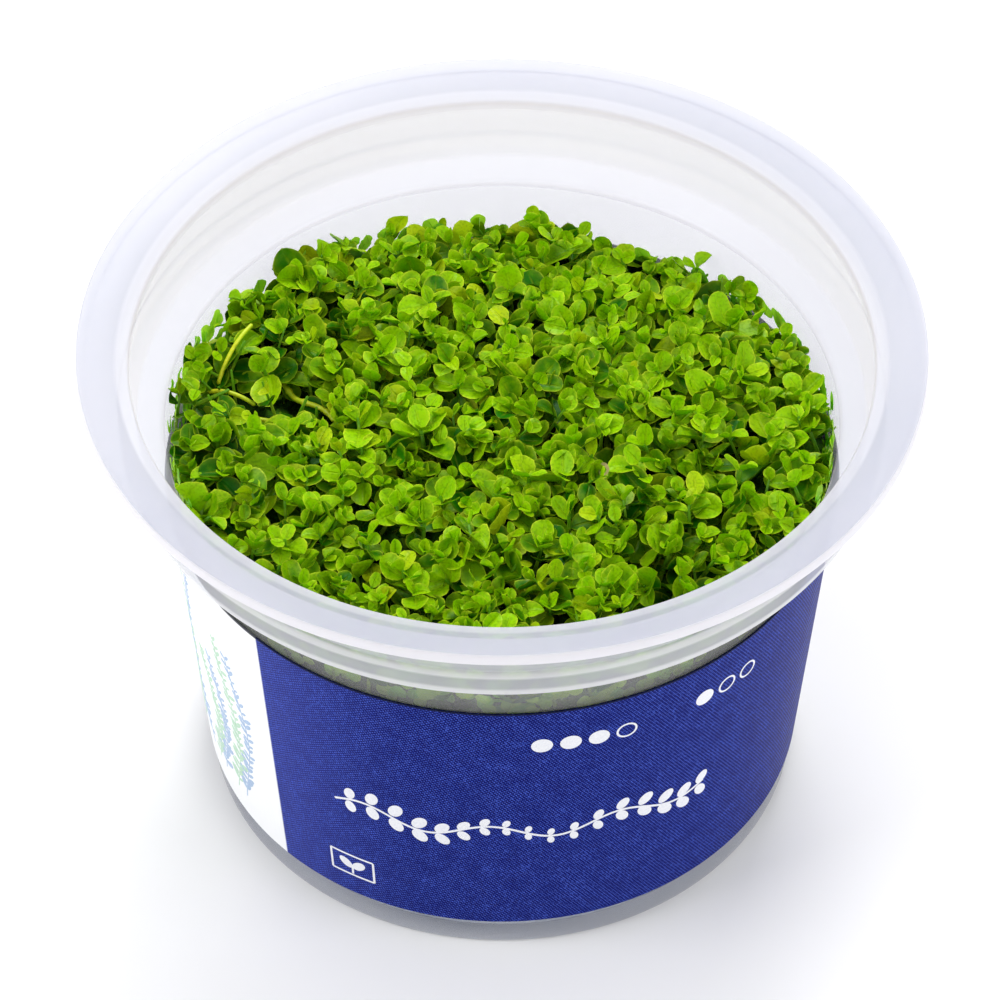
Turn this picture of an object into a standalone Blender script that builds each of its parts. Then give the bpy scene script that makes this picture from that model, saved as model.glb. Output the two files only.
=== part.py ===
"""Monte carlo carpet plant grown in a labelled culture cup.

The cup stands on the plane z = 0 with its axis on Z. The printed front of the label faces -Y.
A mat of stems and leaves fills the cup above a layer of gel, and single shoots and a few bare
runners stand out of the mat. All sizes are in metres.
"""

import math
import random

import bmesh
import bpy
from mathutils import Matrix, Vector
from mathutils.bvhtree import BVHTree

# Cup
CUP_HEIGHT = 0.0675
RIM_RADIUS = 0.0500
LIP_HEIGHT = 0.00165
LIP_THICKNESS = 0.0009
LIP_EDGE = 0.0003
FLANGE_THICKNESS = 0.00095
MOUTH_RADIUS = 0.04435
MOUTH_Z = 0.0656
COLLAR_DRAFT = 0.0005
COLLAR_RADIUS = 0.0452
BEAD_RADIUS = 0.0456
BEAD_TOP_Z = 0.0590
BEAD_BOTTOM_Z = 0.0557
LEDGE_TOP_Z = 0.0572
LEDGE_EASE = 0.0012
BODY_TOP_RADIUS = 0.0409
BODY_TOP_Z = 0.0539
BASE_RADIUS = 0.0368
WALL = 0.0008
FLOOR_THICKNESS = 0.0010
FOOT_HEIGHT = 0.0008
FOOT_WIDTH = 0.0024
FOOT_EDGE = 0.0007
SHOULDER_EDGE = 0.0007
FLOOR_CORNER = 0.0015
CUP_SEGMENTS = 48

# Label
GAP = 0.0003
LABEL_THICKNESS = 0.00025
LABEL_BOTTOM_Z = 0.0048
LABEL_TOP_Z = 0.0468

# Gel
GEL_TOP_Z = 0.0100
GEL_MENISCUS = 0.0006
GEL_MENISCUS_WIDTH = 0.0016
GEL_SEGMENTS = 24

# Mat of stems and leaves
# Height of its edge at even steps round the cup, from the right by way of the back
MAT_EDGE_HEIGHTS = (
    0.0478,
    0.0452,
    0.0426,
    0.0432,
    0.0446,
    0.0474,
    0.0490,
    0.0476,
    0.0464,
    0.0460,
    0.0462,
    0.0470,
)
MAT_MIDDLE_Z = 0.0492
MAT_DOME_POWER = 2.2
MAT_SIDE_RADIUS = 0.0388
MAT_RINGS = 6
MAT_SEGMENTS = 36
MAT_CRUMPLE = 0.0005
HUMMOCK_RISE = 0.0016
HUMMOCK_RADIUS = 0.0034
HOLLOW_DEPTH = 0.0016
HOLLOW_RADIUS = 0.0055

# Single leaves that grow out of the mat between the shoots
MAT_LEAF_SPOTS = 136
MAT_LEAF_FIELD_RADIUS = 0.0380
MAT_LEAF_START = math.radians(57)
MAT_LEAF_LENGTH = 0.0044
MAT_LEAF_WIDTH = 0.0040
MAT_LEAF_RISE = (math.radians(20), math.radians(33))
MAT_LEAF_ROOT_DEPTH = 0.0003
MAT_LEAF_RIM_POINTS = 6
MAT_LEAF_DISH = 0.0003
MAT_LEAF_BACK = 0.0008
MAT_LEAF_CLEARANCE = 0.0019

# Shoots
SHOOT_SPOTS = 41
SHOOT_FIELD_RADIUS = 0.0352
SHOOT_SPOT_JITTER = 0.0003
SHOOT_REACH = 0.0048
GOLDEN_ANGLE = math.radians(137.508)
STEM_WIDTH = 0.0008
LEAF_LENGTH = 0.0041
LEAF_WIDTH = 0.0038
LEAF_THICKNESS = 0.0005
LEAF_LIFT = 0.0003
# Along a leaf: share of its length, of its width and of its thickness, and lift of its middle
LEAF_STATIONS = ((0.38, 0.96, 1.0, 0.0), (0.78, 0.86, 0.8, 1.0), (1.0, 0.3, 0.0, 2.2))
BARE_STEM = 0.0012
NODE_HEIGHT = 0.0006
TIER_HEIGHT = 0.0014
BUD_HEIGHT = 0.0006
LEAF_UNEVENNESS = 0.07
TIERS = 2
TIER_SHRINK = 0.24
LOWEST_LEAF_RISE = math.radians(16)
LEAF_RISE_STEP = math.radians(17)
SHOOT_SHAPES = 5
SHOOT_SIZE_SPREAD = 0.05
SHOOT_LEAN = math.radians(5)

# Runners, each given by the compass angle and the radius of its middle, and its heading
RUNNER_SPOTS = (
    (math.radians(161.5), 0.0261, math.radians(-48)),
    (math.radians(171), 0.0318, math.radians(-18)),
)
RUNNER_LENGTH = 0.0126
RUNNER_RADIUS = 0.00055
RUNNER_ARCH = 0.0012
RUNNER_POINTS = 9
RUNNER_CLEARANCE = 0.0049

# Colour, roughness and opacity of each finish
CUP_MILK = ((0.86, 0.88, 0.91), 0.25, 0.45)
LABEL_BLUE = ((0.028, 0.040, 0.270), 0.45, 1.0)
GEL_PALE = ((0.78, 0.80, 0.74), 0.15, 0.7)
MAT_GREEN = ((0.110, 0.280, 0.010), 0.50, 1.0)
SHOOT_GREEN = ((0.190, 0.420, 0.012), 0.35, 1.0)
RUNNER_GREEN = ((0.560, 0.620, 0.040), 0.40, 1.0)

SEED = 11
WELD = 1e-6
SMOOTH_ANGLE = math.radians(35)


def clear_scene():
    """Removes every object that the file holds."""
    for thing in list(bpy.data.objects):
        bpy.data.objects.remove(thing, do_unlink=True)


def finish(name, look):
    """A plain surface finish from a colour, a roughness and an opacity."""
    colour, roughness, opacity = look
    material = bpy.data.materials.new(name)
    material.use_nodes = True
    shader = material.node_tree.nodes["Principled BSDF"]
    shader.inputs["Base Color"].default_value = (*colour, 1.0)
    shader.inputs["Roughness"].default_value = roughness
    shader.inputs["Metallic"].default_value = 0.0
    shader.inputs["Alpha"].default_value = opacity
    return material


def add_object(name, mesh, material):
    """Puts a mesh in the scene as a named object with its finish."""
    mesh.materials.clear()
    mesh.materials.append(material)
    thing = bpy.data.objects.new(name, mesh)
    bpy.context.scene.collection.objects.link(thing)
    return thing


def mesh_from(shape, name, smooth=True):
    """Turns a bmesh into a mesh with outward faces, and frees the bmesh."""
    bmesh.ops.recalc_face_normals(shape, faces=shape.faces)
    mesh = bpy.data.meshes.new(name)
    shape.to_mesh(mesh)
    shape.free()
    if smooth:
        mesh.shade_smooth()
        mesh.set_sharp_from_angle(angle=SMOOTH_ANGLE)
    return mesh


def turned(name, profile, segments, ring=False):
    """Turns a profile of (radius, height) pairs about Z. A ring's profile closes on itself."""
    shape = bmesh.new()
    points = [shape.verts.new((radius, 0.0, height)) for radius, height in profile]
    edges = [shape.edges.new(pair) for pair in zip(points, points[1:])]
    if ring:
        edges.append(shape.edges.new((points[-1], points[0])))
    bmesh.ops.spin(
        shape,
        geom=points + edges,
        cent=(0.0, 0.0, 0.0),
        axis=(0.0, 0.0, 1.0),
        angle=math.tau,
        steps=segments,
        use_merge=True,
    )
    bmesh.ops.remove_doubles(shape, verts=shape.verts, dist=WELD)
    return mesh_from(shape, name)


def body_radius(height):
    """Outer radius of the cup's tapered wall at a height."""
    return BASE_RADIUS + (BODY_TOP_RADIUS - BASE_RADIUS) * height / BODY_TOP_Z


def inner_radius(height):
    """Inner radius of the cup's tapered wall at a height."""
    return body_radius(height) - WALL


def eased(before, corner, after, length):
    """Cuts a corner of a profile: two points, each a length away from it along its sides."""
    at = Vector(corner)
    back = (Vector(before) - at).normalized() * length
    on = (Vector(after) - at).normalized() * length
    return [tuple(at + back), tuple(at + on)]


def cup_profile():
    """The cup's section, from the axis under the floor, up the outside and down the inside."""
    floor_z = FOOT_HEIGHT + FLOOR_THICKNESS
    foot_inner = BASE_RADIUS - FOOT_WIDTH
    flange_slope = (CUP_HEIGHT - MOUTH_Z) / (RIM_RADIUS - MOUTH_RADIUS)
    lip_inner = RIM_RADIUS - LIP_THICKNESS
    lip_bottom_z = CUP_HEIGHT - LIP_HEIGHT

    def under_flange(radius):
        return MOUTH_Z + (radius - MOUTH_RADIUS) * flange_slope - FLANGE_THICKNESS

    under = [
        (0.0, FOOT_HEIGHT),
        (foot_inner - FOOT_HEIGHT, FOOT_HEIGHT),
        (foot_inner, 0.0),
    ]
    foot = eased((foot_inner, 0.0), (BASE_RADIUS, 0.0), (BODY_TOP_RADIUS, BODY_TOP_Z), FOOT_EDGE)
    shoulder = eased(
        (BODY_TOP_RADIUS, BODY_TOP_Z),
        (BEAD_RADIUS, BEAD_BOTTOM_Z),
        (BEAD_RADIUS, BEAD_TOP_Z),
        SHOULDER_EDGE,
    )
    collar = [
        (BEAD_RADIUS, BEAD_TOP_Z),
        (COLLAR_RADIUS, BEAD_TOP_Z + (BEAD_RADIUS - COLLAR_RADIUS)),
        (COLLAR_RADIUS, under_flange(COLLAR_RADIUS)),
    ]
    lip = [
        (lip_inner, under_flange(lip_inner)),
        (lip_inner, lip_bottom_z),
        (RIM_RADIUS, lip_bottom_z),
    ]
    top = eased(
        (RIM_RADIUS, lip_bottom_z),
        (RIM_RADIUS, CUP_HEIGHT + LIP_EDGE * flange_slope),
        (MOUTH_RADIUS, MOUTH_Z),
        LIP_EDGE,
    )
    ledge_radius = MOUTH_RADIUS - COLLAR_DRAFT
    wall_top = (inner_radius(BODY_TOP_Z), BODY_TOP_Z)
    mouth = eased(top[-1], (MOUTH_RADIUS, MOUTH_Z), (ledge_radius, LEDGE_TOP_Z), LIP_EDGE)
    ledge = eased(mouth[-1], (ledge_radius, LEDGE_TOP_Z), wall_top, LIP_EDGE)
    inner_foot = (inner_radius(floor_z), floor_z)
    wall = eased(ledge[-1], wall_top, inner_foot, LEDGE_EASE)
    floor = eased(wall_top, inner_foot, (0.0, floor_z), FLOOR_CORNER)
    body_top = [(BODY_TOP_RADIUS, BODY_TOP_Z)]
    outside = under + foot + body_top + shoulder + collar + lip
    inside = top + mouth + ledge + wall + floor
    return outside + inside + [(0.0, floor_z)]


def make_cup():
    """The culture cup, one moulded piece open at the top."""
    mesh = turned("cup", cup_profile(), CUP_SEGMENTS)
    return add_object("cup", mesh, finish("milky_plastic", CUP_MILK))


def make_label():
    """The printed band round the tapered wall."""
    profile = []
    for height in (LABEL_BOTTOM_Z, LABEL_TOP_Z):
        profile.append((body_radius(height) + GAP, height))
    for height in (LABEL_TOP_Z, LABEL_BOTTOM_Z):
        profile.append((body_radius(height) + GAP + LABEL_THICKNESS, height))
    mesh = turned("label", profile, CUP_SEGMENTS, ring=True)
    return add_object("label", mesh, finish("printed_label", LABEL_BLUE))


def make_gel():
    """The layer of culture gel, whose edge climbs a little up the wall."""
    bottom_z = FOOT_HEIGHT + FLOOR_THICKNESS + GAP
    corner = FLOOR_CORNER
    profile = [
        (0.0, bottom_z),
        (inner_radius(bottom_z) - GAP - corner, bottom_z),
        (inner_radius(bottom_z + corner) - GAP, bottom_z + corner),
        (inner_radius(GEL_TOP_Z) - GAP, GEL_TOP_Z),
        (inner_radius(GEL_TOP_Z) - GAP - GEL_MENISCUS_WIDTH, GEL_TOP_Z - GEL_MENISCUS),
        (0.0, GEL_TOP_Z - GEL_MENISCUS),
    ]
    mesh = turned("nutrient_gel", profile, GEL_SEGMENTS)
    return add_object("nutrient_gel", mesh, finish("culture_gel", GEL_PALE))


def polar(angle, radius):
    """A point on the ground plane from its compass angle and its radius."""
    return Vector((math.cos(angle) * radius, math.sin(angle) * radius, 0.0))


def runner_places():
    """The ends and the middle of every runner, seen from above."""
    places = []
    for angle, middle, heading in RUNNER_SPOTS:
        for share in (-0.5, 0.0, 0.5):
            places.append(polar(angle, middle) + polar(heading, share * RUNNER_LENGTH))
    return places


def shoot_spots():
    """Where the shoots stand: a sunflower spiral, without the spots that the runners lie on."""
    dice = random.Random(SEED)
    runners = runner_places()
    spots = []
    for i in range(SHOOT_SPOTS):
        radius = SHOOT_FIELD_RADIUS * math.sqrt((i + 0.5) / SHOOT_SPOTS)
        spot = polar(i * GOLDEN_ANGLE, radius) + polar(dice.uniform(0.0, math.tau), SHOOT_SPOT_JITTER)
        if all((spot - runner).length > RUNNER_CLEARANCE for runner in runners):
            spots.append(spot)
    return spots


def edge_height(point):
    """Height of the mat's edge in the direction of a point."""
    count = len(MAT_EDGE_HEIGHTS)
    step = math.atan2(point.y, point.x) / math.tau * count
    before = math.floor(step)
    share = step - before
    low = MAT_EDGE_HEIGHTS[before % count]
    high = MAT_EDGE_HEIGHTS[(before + 1) % count]
    return low + (high - low) * share


def canopy_height(point, spots):
    """Height of the mat's top at a point: a low dome with a hummock round each shoot."""
    radius = math.hypot(point.x, point.y)
    spread = min(radius / MAT_SIDE_RADIUS, 1.0) ** MAT_DOME_POWER
    height = MAT_MIDDLE_Z + (edge_height(point) - MAT_MIDDLE_Z) * spread
    for spot in spots:
        away = math.hypot(point.x - spot.x, point.y - spot.y)
        height += HUMMOCK_RISE * math.exp(-((away / HUMMOCK_RADIUS) ** 2))
    for angle, middle, _ in RUNNER_SPOTS:
        hollow = polar(angle, middle)
        away = math.hypot(point.x - hollow.x, point.y - hollow.y)
        height -= HOLLOW_DEPTH * math.exp(-((away / HOLLOW_RADIUS) ** 2))
    return height


def drop(point, ground):
    """The place on the mat's top straight below a point."""
    return ground.ray_cast(Vector((point.x, point.y, CUP_HEIGHT)), Vector((0.0, 0.0, -1.0)))[0]


def ring_of(shape, radius, sides, height_at):
    """A closed ring of new points, each at the height that height_at gives for its place."""
    turn = [polar(math.tau * k / sides, radius) for k in range(sides)]
    return [shape.verts.new((p.x, p.y, height_at(p))) for p in turn]


def join_rings(shape, lower, upper):
    """Closes the band between two rings, which may have different numbers of points."""
    edges = []
    for ring in (lower, upper):
        for pair in zip(ring, ring[1:] + ring[:1]):
            edges.append(shape.edges.get(pair) or shape.edges.new(pair))
    bmesh.ops.bridge_loops(shape, edges=edges)


def mat_block(spots):
    """The plain form of the mat: straight sides from the gel up, and a crumpled top."""
    dice = random.Random(SEED)
    shape = bmesh.new()
    bottom_z = GEL_TOP_Z + GAP

    def top_at(point):
        return canopy_height(point, spots) + MAT_CRUMPLE * dice.uniform(-1.0, 0.0)

    rings = [
        ring_of(shape, inner_radius(bottom_z) - 2 * GAP, MAT_SEGMENTS, lambda point: bottom_z),
        ring_of(shape, MAT_SIDE_RADIUS, MAT_SEGMENTS, edge_height),
    ]
    for ring in range(MAT_RINGS - 1, 0, -1):
        sides = MAT_SEGMENTS if 2 * ring > MAT_RINGS else MAT_SEGMENTS // 2
        rings.append(ring_of(shape, MAT_SIDE_RADIUS * ring / MAT_RINGS, sides, top_at))
    for lower, upper in zip(rings, rings[1:]):
        join_rings(shape, lower, upper)
    shape.faces.new(rings[0])
    middle = bmesh.ops.poke(shape, faces=[shape.faces.new(rings[-1])])["verts"][0]
    middle.co.z = top_at(middle.co)
    bmesh.ops.triangulate(shape, faces=shape.faces)
    return mesh_from(shape, "carpet_mat", smooth=False)


def add_mat_leaf(shape, root, heading, rise):
    """One rounded leaf from its root out: a shallow dish with a thin edge and a full back."""
    turn = Matrix.Rotation(heading, 4, "Z") @ Matrix.Rotation(-rise, 4, "Y")
    place = Matrix.Translation(root) @ turn
    centre = Vector((MAT_LEAF_LENGTH / 2, 0.0, 0.0))
    rim = []
    for k in range(MAT_LEAF_RIM_POINTS):
        angle = math.tau * k / MAT_LEAF_RIM_POINTS
        along = MAT_LEAF_LENGTH / 2 * math.cos(angle)
        across = MAT_LEAF_WIDTH / 2 * math.sin(angle)
        rim.append(shape.verts.new(place @ (centre + Vector((along, across, 0.0)))))
    face = shape.verts.new(place @ (centre - Vector((0.0, 0.0, MAT_LEAF_DISH))))
    back = shape.verts.new(place @ (centre - Vector((0.0, 0.0, MAT_LEAF_BACK))))
    for here, there in zip(rim, rim[1:] + rim[:1]):
        shape.faces.new((here, there, face))
        shape.faces.new((there, here, back))


def mat_leaves(spots, ground):
    """The single leaves between the shoots, clear of the shoots' stems and of the runners."""
    dice = random.Random(SEED)
    shape = bmesh.new()
    keep_clear = [(spot, MAT_LEAF_CLEARANCE) for spot in spots]
    keep_clear += [(place, RUNNER_CLEARANCE) for place in runner_places()]
    for i in range(MAT_LEAF_SPOTS):
        radius = MAT_LEAF_FIELD_RADIUS * math.sqrt((i + 0.5) / MAT_LEAF_SPOTS)
        root = polar(i * GOLDEN_ANGLE + MAT_LEAF_START, radius)
        heading = dice.uniform(0.0, math.tau)
        rise = dice.uniform(*MAT_LEAF_RISE)
        tip = root + polar(heading, MAT_LEAF_LENGTH)
        places = (root, (root + tip) / 2, tip)
        blocked = any((spot - p).length < room for spot, room in keep_clear for p in places)
        if blocked or tip.length > MAT_SIDE_RADIUS:
            continue
        foot = drop(root, ground) - Vector((0.0, 0.0, MAT_LEAF_ROOT_DEPTH))
        tip_z = foot.z + MAT_LEAF_LENGTH * math.sin(rise)
        shaded_by = [spot for spot in spots if (spot - tip).length < SHOOT_REACH]
        if all(tip_z < drop(spot, ground).z + BARE_STEM for spot in shaded_by):
            add_mat_leaf(shape, foot, heading, rise)
    return mesh_from(shape, "mat_leaves", smooth=False)


def make_mat(spots):
    """The mass of stems and leaves with its single leaves joined on. Returns its plain top."""
    material = finish("leaf_mass", MAT_GREEN)
    mat = add_object("carpet_mat", mat_block(spots), material)
    bpy.context.view_layer.update()
    ground = BVHTree.FromObject(mat, bpy.context.evaluated_depsgraph_get())
    leaves = add_object("mat_leaves", mat_leaves(spots, ground), material)
    leaves.hide_render = True
    leaves.display_type = "WIRE"
    join = mat.modifiers.new("leaves", "BOOLEAN")
    join.operation = "UNION"
    join.solver = "EXACT"
    join.use_self = True
    join.object = leaves
    return ground


def extrude(shape, face, closed_end=False):
    """Draws a copy of a face out of it, with walls between the two, and returns the copy."""
    made = bmesh.ops.extrude_face_region(shape, geom=[face])
    if not closed_end:
        bmesh.ops.delete(shape, geom=[face], context="FACES_ONLY")
    return [item for item in made["geom"] if isinstance(item, bmesh.types.BMFace)][0]


def grow_leaf(shape, root, heading, rise, size):
    """Draws a leaf out of one side face of the stem: its widest part, its shoulder and its tip."""
    out = polar(heading, math.cos(rise)) + Vector((0.0, 0.0, math.sin(rise)))
    across = polar(heading + math.pi / 2, 1.0)
    up = out.cross(across)
    start = root.calc_center_median()
    face = root
    for along, width, thickness, lift in LEAF_STATIONS:
        face = extrude(shape, face)
        middle = start + out * LEAF_LENGTH * size * along + up * LEAF_LIFT * lift
        centre = face.calc_center_median()
        for corner in face.verts:
            side = math.copysign(0.5, (corner.co - centre).dot(across))
            level = math.copysign(0.5, (corner.co - centre).dot(up))
            corner.co = middle + across * side * LEAF_WIDTH * size * width
            corner.co += up * level * LEAF_THICKNESS * thickness


def shoot_mesh(name, dice):
    """A shoot: a square stem with pairs of leaves, each pair crossing the one below it."""
    shape = bmesh.new()
    half = STEM_WIDTH / 2
    foot = [shape.verts.new((half * x, half * y, 0.0)) for x, y in ((-1, -1), (1, -1), (1, 1), (-1, 1))]
    face = shape.faces.new(foot)
    roots = []
    for tier in range(TIERS):
        bare = BARE_STEM if tier == 0 else TIER_HEIGHT - NODE_HEIGHT
        face = extrude(shape, face, closed_end=tier == 0)
        bmesh.ops.translate(shape, verts=face.verts, vec=(0.0, 0.0, bare))
        face = extrude(shape, face)
        bmesh.ops.translate(shape, verts=face.verts, vec=(0.0, 0.0, NODE_HEIGHT))
        sides = [side for edge in face.edges for side in edge.link_faces if side is not face]
        for side in sides:
            centre = side.calc_center_median()
            if abs(centre[tier % 2]) > half / 2:
                roots.append((side, math.atan2(centre.y, centre.x), tier))
    bud = bmesh.ops.poke(shape, faces=[face])["verts"][0]
    bud.co.z += BUD_HEIGHT
    for side, heading, tier in roots:
        rise = LOWEST_LEAF_RISE + LEAF_RISE_STEP * tier + LEAF_UNEVENNESS * dice.uniform(-1.0, 1.0)
        size = 1.0 - TIER_SHRINK * tier + LEAF_UNEVENNESS * dice.uniform(-1.0, 1.0)
        grow_leaf(shape, side, heading, rise, size)
    bmesh.ops.remove_doubles(shape, verts=shape.verts, dist=WELD)
    return mesh_from(shape, name, smooth=False)


def make_shoots(spots, ground):
    """Stands a shoot on the mat at every spot, in a few shapes, each turned its own way."""
    dice = random.Random(SEED)
    material = finish("leaf_green", SHOOT_GREEN)
    shapes = [shoot_mesh("shoot_shape_%d" % k, dice) for k in range(SHOOT_SHAPES)]
    for number, spot in enumerate(spots, start=1):
        shoot = add_object("shoot_%02d" % number, shapes[number % SHOOT_SHAPES], material)
        shoot.location = drop(spot, ground) + Vector((0.0, 0.0, GAP))
        lean = [SHOOT_LEAN * dice.uniform(-1.0, 1.0) for _ in range(2)]
        shoot.rotation_euler = (*lean, dice.uniform(0.0, math.pi))
        shoot.scale = (1.0 + SHOOT_SIZE_SPREAD * dice.uniform(-1.0, 1.0),) * 3


def make_runners(ground):
    """Lays each bare runner on the mat as a low arch whose ends bend down to it."""
    material = finish("runner_green", RUNNER_GREEN)
    for number, (angle, middle, heading) in enumerate(RUNNER_SPOTS, start=1):
        curve = bpy.data.curves.new("runner_%02d" % number, "CURVE")
        curve.dimensions = "3D"
        curve.bevel_depth = RUNNER_RADIUS
        curve.bevel_resolution = 1
        curve.use_fill_caps = True
        line = curve.splines.new("POLY")
        line.points.add(RUNNER_POINTS - 1)
        for k in range(RUNNER_POINTS):
            share = k / (RUNNER_POINTS - 1)
            spot = polar(angle, middle) + polar(heading, (share - 0.5) * RUNNER_LENGTH)
            height = RUNNER_RADIUS + 2 * GAP + RUNNER_ARCH * math.sin(math.pi * share)
            line.points[k].co = (spot.x, spot.y, drop(spot, ground).z + height, 1.0)
        curve.materials.append(material)
        runner = bpy.data.objects.new("runner_%02d" % number, curve)
        bpy.context.scene.collection.objects.link(runner)


def main():
    """Builds the cup, its label, the gel and the plants."""
    clear_scene()
    make_cup()
    make_label()
    make_gel()
    spots = shoot_spots()
    ground = make_mat(spots)
    make_shoots(spots, ground)
    make_runners(ground)


main()
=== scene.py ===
"""Monte carlo carpet plants grown together in a labelled culture cup.

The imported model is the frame. Every piece here is worked out in metres in the same space: the cup
stands on z = 0 with its axis on Z, and the printed front of its label faces -Y.
"""

from __future__ import annotations
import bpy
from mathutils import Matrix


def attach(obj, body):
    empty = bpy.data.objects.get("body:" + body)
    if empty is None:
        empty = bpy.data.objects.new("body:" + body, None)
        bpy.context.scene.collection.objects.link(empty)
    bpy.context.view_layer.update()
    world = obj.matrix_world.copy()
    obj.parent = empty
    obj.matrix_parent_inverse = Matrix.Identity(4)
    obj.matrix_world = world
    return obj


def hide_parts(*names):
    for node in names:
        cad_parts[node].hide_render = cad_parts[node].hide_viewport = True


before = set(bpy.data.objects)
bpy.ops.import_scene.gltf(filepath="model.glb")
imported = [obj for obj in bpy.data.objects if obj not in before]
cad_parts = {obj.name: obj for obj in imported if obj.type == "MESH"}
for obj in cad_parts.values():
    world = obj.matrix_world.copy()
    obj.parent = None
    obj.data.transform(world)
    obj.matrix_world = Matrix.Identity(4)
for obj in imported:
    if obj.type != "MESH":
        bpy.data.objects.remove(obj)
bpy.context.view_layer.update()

import logging  # noqa: E402
import math  # noqa: E402
from dataclasses import dataclass, field  # noqa: E402
from enum import Enum  # noqa: E402

import bpy  # noqa: E402
import numpy as np  # noqa: E402

Colour = tuple[float, float, float]
Place = tuple[float, float, float]

TAU = math.tau
GOLDEN_ANGLE = math.radians(137.508)
CREASE = math.radians(50.0)
NO_CORNER = -1
YELLOWED = 0.99
WITHERED = 1.2

log = logging.getLogger("carpet_cup")


class Slot(Enum):
    """The record's material slots."""

    PLASTIC = "milky_plastic"
    LABEL = "printed_label"
    GEL = "culture_gel"
    MASS = "leaf_mass"
    LEAF = "leaf_green"
    RUNNER = "runner_green"


# Surfaces


@dataclass
class Surface:
    """A mesh kept as whole arrays until it is finished.

    points are (n, 3) places. faces are (m, 4) point numbers, and a triangle's last number is
    NO_CORNER. uv is (m, 4, 2), a place on the map for each corner of each face. marks are named
    values, one for each point.
    """

    points: np.ndarray
    faces: np.ndarray
    uv: np.ndarray
    marks: dict[str, np.ndarray] = field(default_factory=dict)

    @classmethod
    def joined(cls, parts: list[Surface]) -> Surface:
        """One surface out of several that carry the same marks.

        Args:
            parts: the surfaces, in order.

        Returns:
            All their points and faces, with the faces' numbers moved on to match.
        """
        starts = np.cumsum([0] + [len(part.points) for part in parts[:-1]])
        faces = [np.where(p.faces < 0, NO_CORNER, p.faces + s) for p, s in zip(parts, starts)]
        marks = {key: np.concatenate([p.marks[key] for p in parts]) for key in parts[0].marks}
        return cls(
            np.concatenate([part.points for part in parts]),
            np.concatenate(faces),
            np.concatenate([part.uv for part in parts]),
            marks,
        )

    def mesh(self, name: str) -> bpy.types.Mesh:
        """Puts the arrays into a smooth mesh with creases, a UV map and point attributes.

        Args:
            name: the mesh's name.

        Returns:
            The mesh.
        """
        real = self.faces >= 0
        corners = self.faces[real].astype(np.int32)
        totals = real.sum(axis=1).astype(np.int32)
        mesh = bpy.data.meshes.new(name)
        mesh.vertices.add(len(self.points))
        mesh.vertices.foreach_set("co", self.points.astype(np.float32).ravel())
        mesh.loops.add(len(corners))
        mesh.loops.foreach_set("vertex_index", corners)
        mesh.polygons.add(len(totals))
        mesh.polygons.foreach_set("loop_start", np.cumsum(totals, dtype=np.int32) - totals)
        mesh.polygons.foreach_set("loop_total", totals)
        mesh.update(calc_edges=True)
        mesh.validate()
        layer = mesh.uv_layers.new(name="map")
        layer.data.foreach_set("uv", self.uv[real].astype(np.float32).ravel())
        for key, values in self.marks.items():
            mark = mesh.attributes.new(key, "FLOAT", "POINT")
            mark.data.foreach_set("value", values.astype(np.float32))
        mesh.shade_smooth()
        mesh.set_sharp_from_angle(angle=CREASE)
        return mesh

    def piece(self, name: str, look: bpy.types.Material, slot: Slot, *nodes: str) -> bpy.types.Object:
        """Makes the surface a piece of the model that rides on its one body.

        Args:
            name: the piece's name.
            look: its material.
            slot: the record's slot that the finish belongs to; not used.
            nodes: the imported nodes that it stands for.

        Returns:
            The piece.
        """
        mesh = self.mesh(name)
        mesh.materials.append(look)
        thing = bpy.data.objects.new(name, mesh)
        bpy.context.scene.collection.objects.link(thing)
        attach(thing, "root")
        if nodes:
            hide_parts(*nodes)
        log.info("%s: %d faces", name, len(self.faces))
        return thing


def grid(places: np.ndarray, wrap: bool = False, poles: tuple[bool, bool] = (False, False)) -> Surface:
    """A surface through a net of places: rows across, columns along.

    Args:
        places: (rows, columns, 3) places.
        wrap: whether the last column joins the first.
        poles: whether the first and the last row close to one point each.

    Returns:
        The surface. Its map runs 0 to 1 along a row and 0 to 1 from the first row to the last.
    """
    rows, columns = places.shape[:2]
    number = np.arange(rows * columns).reshape(rows, columns)
    if poles[0]:
        number[0] = number[0, 0]
    if poles[1]:
        number[-1] = number[-1, 0]
    spans = columns if wrap else columns - 1
    here = np.arange(spans)
    there = (here + 1) % columns
    faces = np.stack(
        [number[:-1][:, here], number[:-1][:, there], number[1:][:, there], number[1:][:, here]], axis=-1
    ).reshape(-1, 4)
    across, along = np.meshgrid(here / spans, np.arange(rows - 1) / (rows - 1))
    step = np.array([[0.0, 0.0], [1.0 / spans, 0.0], [1.0 / spans, 1 / (rows - 1)], [0.0, 1 / (rows - 1)]])
    uv = np.stack([across, along], axis=-1).reshape(-1, 1, 2) + step
    start = faces[:, 0] == faces[:, 1]
    end = faces[:, 2] == faces[:, 3]
    faces[start, 1:] = np.roll(faces[start, 1:], -1, axis=1)
    uv[start, 1:] = np.roll(uv[start, 1:], -1, axis=1)
    faces[start | end, 3] = NO_CORNER
    used, back = np.unique(faces[faces >= 0], return_inverse=True)
    faces[faces >= 0] = back
    return Surface(places.reshape(-1, 3)[used], faces, uv)


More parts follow.
